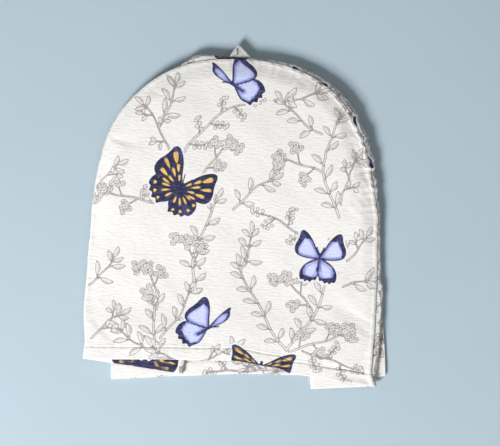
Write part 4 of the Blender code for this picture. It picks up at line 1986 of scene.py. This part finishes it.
    def build(self, placer: Placer, canvas: bpy.types.Material) -> bpy.types.Object:
        """Makes the folded strip.

        Args:
            placer: moves it to the part's frame.
            canvas: the printed cloth.

        Returns:
            The piece.
        """
        along = self.stations()
        middle = self.middle(along)
        length = along * SEAM_LENGTH
        from_hem = np.minimum(along, 1.0 - along) * SIDE_HEIGHT / SIDE_SHARE
        steps = np.linalg.norm(np.diff(middle, axis=1), axis=2)
        across = np.concatenate([np.zeros((len(along), 1)), np.cumsum(steps, 1)], 1)
        down = np.broadcast_to(length[:, None], across.shape)
        half = (half_thickness(from_hem) * edge_round(from_hem))[:, None, None]
        normals = grid_normals(middle)
        outer, inner = middle - normals * half, middle + normals * half
        facing = np.broadcast_to(hem_share(from_hem)[:, None], across.shape)
        sheet = printed(down, across, self.sprigs(), STRIP_INSECTS, self.seed)
        fields = inked(sheet, sides(across, down, np.ones_like(across), facing))
        piece = closed_sheet("side_strip_canvas", placer(outer), placer(inner), self.coarse,
                             fields)
        piece.data.materials.append(canvas)
        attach(piece, BODY)
        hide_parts(self.node)
        return piece


def back_place(x: np.ndarray, y: np.ndarray) -> tuple[np.ndarray, np.ndarray]:
    """Points of the back panel where they lie, drawn in a little and turned askew.

    Args:
        x: places across the plain back.
        y: places up it.

    Returns:
        Places across and places up where the back lies.
    """
    x = x * (1.0 - BACK_TAPER / BACK_HALF_WIDTH * ramp(y, 0.0, SIDE_HEIGHT))
    cos, sin = math.cos(BACK_TURN), math.sin(BACK_TURN)
    return BACK_SHIFT[0] + x * cos - y * sin, BACK_SHIFT[1] + x * sin + y * cos


@dataclass
class BackPanel:
    """Arched back, flat on the surface with its printed side down."""

    node: str = "back_panel"
    columns: int = 200
    rows: int = 216
    seed: int = 5
    groove: float = 0.18
    groove_reach: float = 0.9

    def build(self, placer: Placer, canvas: bpy.types.Material) -> bpy.types.Object:
        """Makes the sheet.

        Args:
            placer: moves it to the part's frame.
            canvas: the printed cloth.

        Returns:
            The piece.
        """
        x, y, from_hem = square_to_arch(self.columns, self.rows, BACK_HALF_WIDTH, BACK_RISE,
                                        BACK_HEM)
        across, up = back_place(x, y)
        groove = self.groove * np.exp(-(((from_hem - STITCH_LINE) / self.groove_reach) ** 2))
        half, share = half_thickness(from_hem), edge_round(from_hem)
        top = np.stack([across, up, half * (1.0 + share) - groove], 2)
        foot = np.stack([across, up, half * (1.0 - share)], 2)
        sheet = printed(-x, y, BACK_SPRIGS, BACK_INSECTS, self.seed)
        fields = inked(sheet, sides(x, y, hem_share(from_hem), np.ones_like(x)))
        piece = closed_sheet("back_canvas", placer(top), placer(foot), 1, fields)
        piece.data.materials.append(canvas)
        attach(piece, BODY)
        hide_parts(self.node)
        return piece

    def stitch_path(self) -> np.ndarray:
        """Points just above the back's hem facing along its stitches.

        Returns:
            The points, from left to right.
        """
        x = np.linspace(-0.98 * BACK_HALF_WIDTH, 0.98 * BACK_HALF_WIDTH, 260)
        y = read(BACK_HEM, x, "height") + STITCH_LINE
        across, up = back_place(x, y)
        return np.stack([across, up, np.full_like(x, HEM_CLOTH - 0.1)], 1)


@dataclass
class LoopTab:
    """Narrow tape folded to a point, with a dark tack across its fold."""

    node: str = "loop_tab"
    foot: tuple[float, float] = (-16.0, 11.5)
    tip: tuple[float, float] = (-6.2, -3.4)
    foot_y: float = 383.1
    tip_y: float = 397.7
    cloth: float = 0.9
    space: float = 2.0
    foot_z: float = 10.6
    tip_z: float = 9.4
    rows: int = 28
    run_points: int = 20
    nose_points: int = 9
    ridge: float = 0.9
    ridge_place: float = 0.45
    tack_span: tuple[float, float] = (0.18, 0.80)
    tack_points: int = 40
    tack_aside: float = 1.4
    tack_swing: float = 1.3
    tack_turns: float = 95.0

    def row(self, share: np.ndarray | float) -> tuple:
        """The tape's left and right edges, place up and height at a share of its length.

        Args:
            share: nought at its foot, one at its tip.

        Returns:
            Left edge, right edge, place up the cover and height of its middle.
        """
        left = self.foot[0] + (self.tip[0] - self.foot[0]) * share
        right = self.foot[1] + (self.tip[1] - self.foot[1]) * share
        y = self.foot_y + (self.tip_y - self.foot_y) * share
        return left, right, y, self.foot_z + (self.tip_z - self.foot_z) * share

    def ridge_line(self, share: np.ndarray | float) -> np.ndarray | float:
        """Place across of the soft ridge along the upper layer."""
        left, right = self.row(share)[:2]
        return (1.0 - self.ridge_place) * left + self.ridge_place * right

    def hump(self, x: np.ndarray, share: np.ndarray | float) -> np.ndarray:
        """Height of the ridge."""
        return self.ridge * np.exp(-(((x - self.ridge_line(share)) / (2.2 - share)) ** 2))

    def middle(self) -> np.ndarray:
        """Middle of the tape, from its lower layer round the fold to its upper layer.

        Returns:
            A grid of points, a row for each share up it.
        """
        grid = []
        for share in np.linspace(0.0, 1.0, self.rows + 1):
            left, right, y, height = self.row(share)
            low = height - 0.5 * self.space
            bend = right - 0.5 * self.space
            out = np.linspace(left, bend, self.run_points)
            hump = self.hump(out, share)
            turn = np.linspace(0.0, math.pi, self.nose_points)[1:-1]
            nose = np.stack([bend + 0.5 * self.space * np.sin(turn), np.full_like(turn, y),
                             low + 0.5 * self.space * (1.0 - np.cos(turn))], 1)
            lower = np.stack([out, np.full_like(out, y), np.full_like(out, low)], 1)
            upper = np.stack([out, np.full_like(out, y), low + self.space + hump], 1)[::-1]
            grid.append(np.concatenate([lower, nose, upper]))
        return np.array(grid)

    def build(self, placer: Placer, tape: bpy.types.Material) -> bpy.types.Object:
        """Makes the folded tape.

        Args:
            placer: moves it to the part's frame.
            tape: the woven tape.

        Returns:
            The piece.
        """
        middle = self.middle()
        normals = grid_normals(middle)
        half = 0.5 * self.cloth
        steps = np.linalg.norm(np.diff(middle, axis=1), axis=2)
        across = np.concatenate([np.zeros((len(middle), 1)), np.cumsum(steps, 1)], 1)
        ones = np.ones_like(across)
        fields = {"flat": sides(across, middle[..., 1], ones, ones)}
        piece = closed_sheet("tab_tape", placer(middle + normals * half),
                             placer(middle - normals * half), 1, fields)
        piece.data.materials.append(tape)
        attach(piece, BODY)
        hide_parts(self.node)
        return piece

    def tack_path(self) -> np.ndarray:
        """Points of a close zigzag up the tab's ridge.

        Returns:
            The points, from foot to tip.
        """
        share = np.linspace(*self.tack_span, self.tack_points)
        _, _, y, height = self.row(share)
        swing = self.tack_swing * np.sin(share * self.tack_turns)
        x = self.ridge_line(share) - self.tack_aside + swing
        return np.stack([x, y, height + 0.5 * (self.space + self.cloth) + self.hump(x, share)], 1)


@dataclass
class Studio:
    """Pale floor, soft lights and the camera straight above."""

    key_place: tuple[float, float, float] = (-1.55, -2.10, 2.15)
    key_size: float = 1.1
    key_power: float = 150.0
    fill_place: tuple[float, float, float] = (1.2, 0.9, 2.0)
    fill_size: float = 1.6
    fill_power: float = 6.0
    sky_power: float = 0.22
    floor_reach: float = 14.0

    def floor(self) -> None:
        """Lays the floor."""
        mesh = bpy.data.meshes.new("floor")
        corners = [(self.floor_reach * x, self.floor_reach * y, 0.0)
                   for x, y in ((-1.0, -1.0), (1.0, -1.0), (1.0, 1.0), (-1.0, 1.0))]
        mesh.from_pydata(corners, [], [(0, 1, 2, 3)])
        mesh.materials.append(Floor().build())
        floor = bpy.data.objects.new("floor", mesh)
        bpy.context.scene.collection.objects.link(floor)

    @staticmethod
    def lamp(name: str, place: Vector, size: float, power: float, aim: Vector) -> None:
        """Hangs one square soft light.

        Args:
            name: its name.
            place: where it hangs.
            size: its side.
            power: its power, in watts.
            aim: where it points.
        """
        light = bpy.data.lights.new(name, "AREA")
        light.shape = "SQUARE"
        light.size = size
        light.energy = power
        lamp = bpy.data.objects.new(name, light)
        lamp.location = place
        lamp.rotation_euler = (aim - place).to_track_quat("-Z", "Y").to_euler()
        bpy.context.scene.collection.objects.link(lamp)

    def lights(self, aim: Vector) -> None:
        """Sets the key at the lower left, a weak fill opposite and an even sky.

        Args:
            aim: the middle of the picture on the table.
        """
        self.lamp("key", aim + Vector(self.key_place), self.key_size, self.key_power, aim)
        self.lamp("fill", aim + Vector(self.fill_place), self.fill_size, self.fill_power, aim)
        world = bpy.data.worlds.new("studio")
        world.use_nodes = True
        sky = world.node_tree.nodes["Background"]
        sky.inputs["Color"].default_value = colour(0.96, 0.98, 1.0)
        sky.inputs["Strength"].default_value = self.sky_power
        bpy.context.scene.world = world
        bpy.context.scene.view_settings.view_transform = "Standard"

    def camera(self, aim: Vector) -> None:
        """Hangs the camera over the cover, turned as the picture is.

        Args:
            aim: the middle of the picture on the table.
        """
        lens = bpy.data.cameras.new("camera")
        lens.sensor_width = SENSOR
        lens.lens = SENSOR * CAMERA_HEIGHT / (PICTURE_SIZE[0] * PIXEL * MM)
        lens.clip_end = 20.0
        camera = bpy.data.objects.new("camera", lens)
        camera.location = aim + Vector((0.0, 0.0, CAMERA_HEIGHT))
        camera.rotation_euler = (0.0, 0.0, PICTURE_TURN)
        bpy.context.scene.collection.objects.link(camera)
        bpy.context.scene.camera = camera


def main() -> None:
    logging.basicConfig(level=logging.INFO, format="%(name)s: %(message)s")
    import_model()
    placer = Placer()
    canvas = Canvas("slub_canvas").build()
    thread = Thread("pale_thread", colour(0.58, 0.56, 0.52), colour(0.38, 0.365, 0.34)).build()
    dark = Thread("dark_thread", colour(0.03, 0.03, 0.045), colour(0.10, 0.10, 0.13)).build()
    front = FrontPanel()
    back = BackPanel()
    tab = LoopTab()
    front_piece = front.build(placer, canvas)
    strip_piece = SideStrip().build(placer, canvas)
    back_piece = back.build(placer, canvas)
    tab_piece = tab.build(placer, Tape().build())
    sewing = Stitcher()
    rows = (
        ("front_hem_stitches", front.stitch_path(), thread, "front_cloth", sewing),
        ("back_hem_stitches", back.stitch_path(), thread, "back_cloth", sewing),
        ("tab_tack", tab.tack_path(), dark, "tab_tape", Stitcher(0.7, 1.2, 0.2)),
    )
    sewn = {}
    for name, path, material, slot, stitcher in rows:
        piece = stitcher.sew(name, placer(path), material)
        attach(piece, BODY)
        sewn[name] = piece
    for piece in (front_piece, strip_piece, back_piece, tab_piece, *sewn.values()):
        piece.data.calc_loop_triangles()
        LOG.info("%s: %d triangles", piece.name, len(piece.data.loop_triangles))
    aim = Vector(((PICTURE_MIDDLE[0] + placer.shift[0]) * MM,
                  (PICTURE_MIDDLE[1] + placer.shift[1]) * MM, 0.0))
    studio = Studio()
    studio.floor()
    studio.lights(aim)
    studio.camera(aim)


if __name__ == "__main__":
    main()
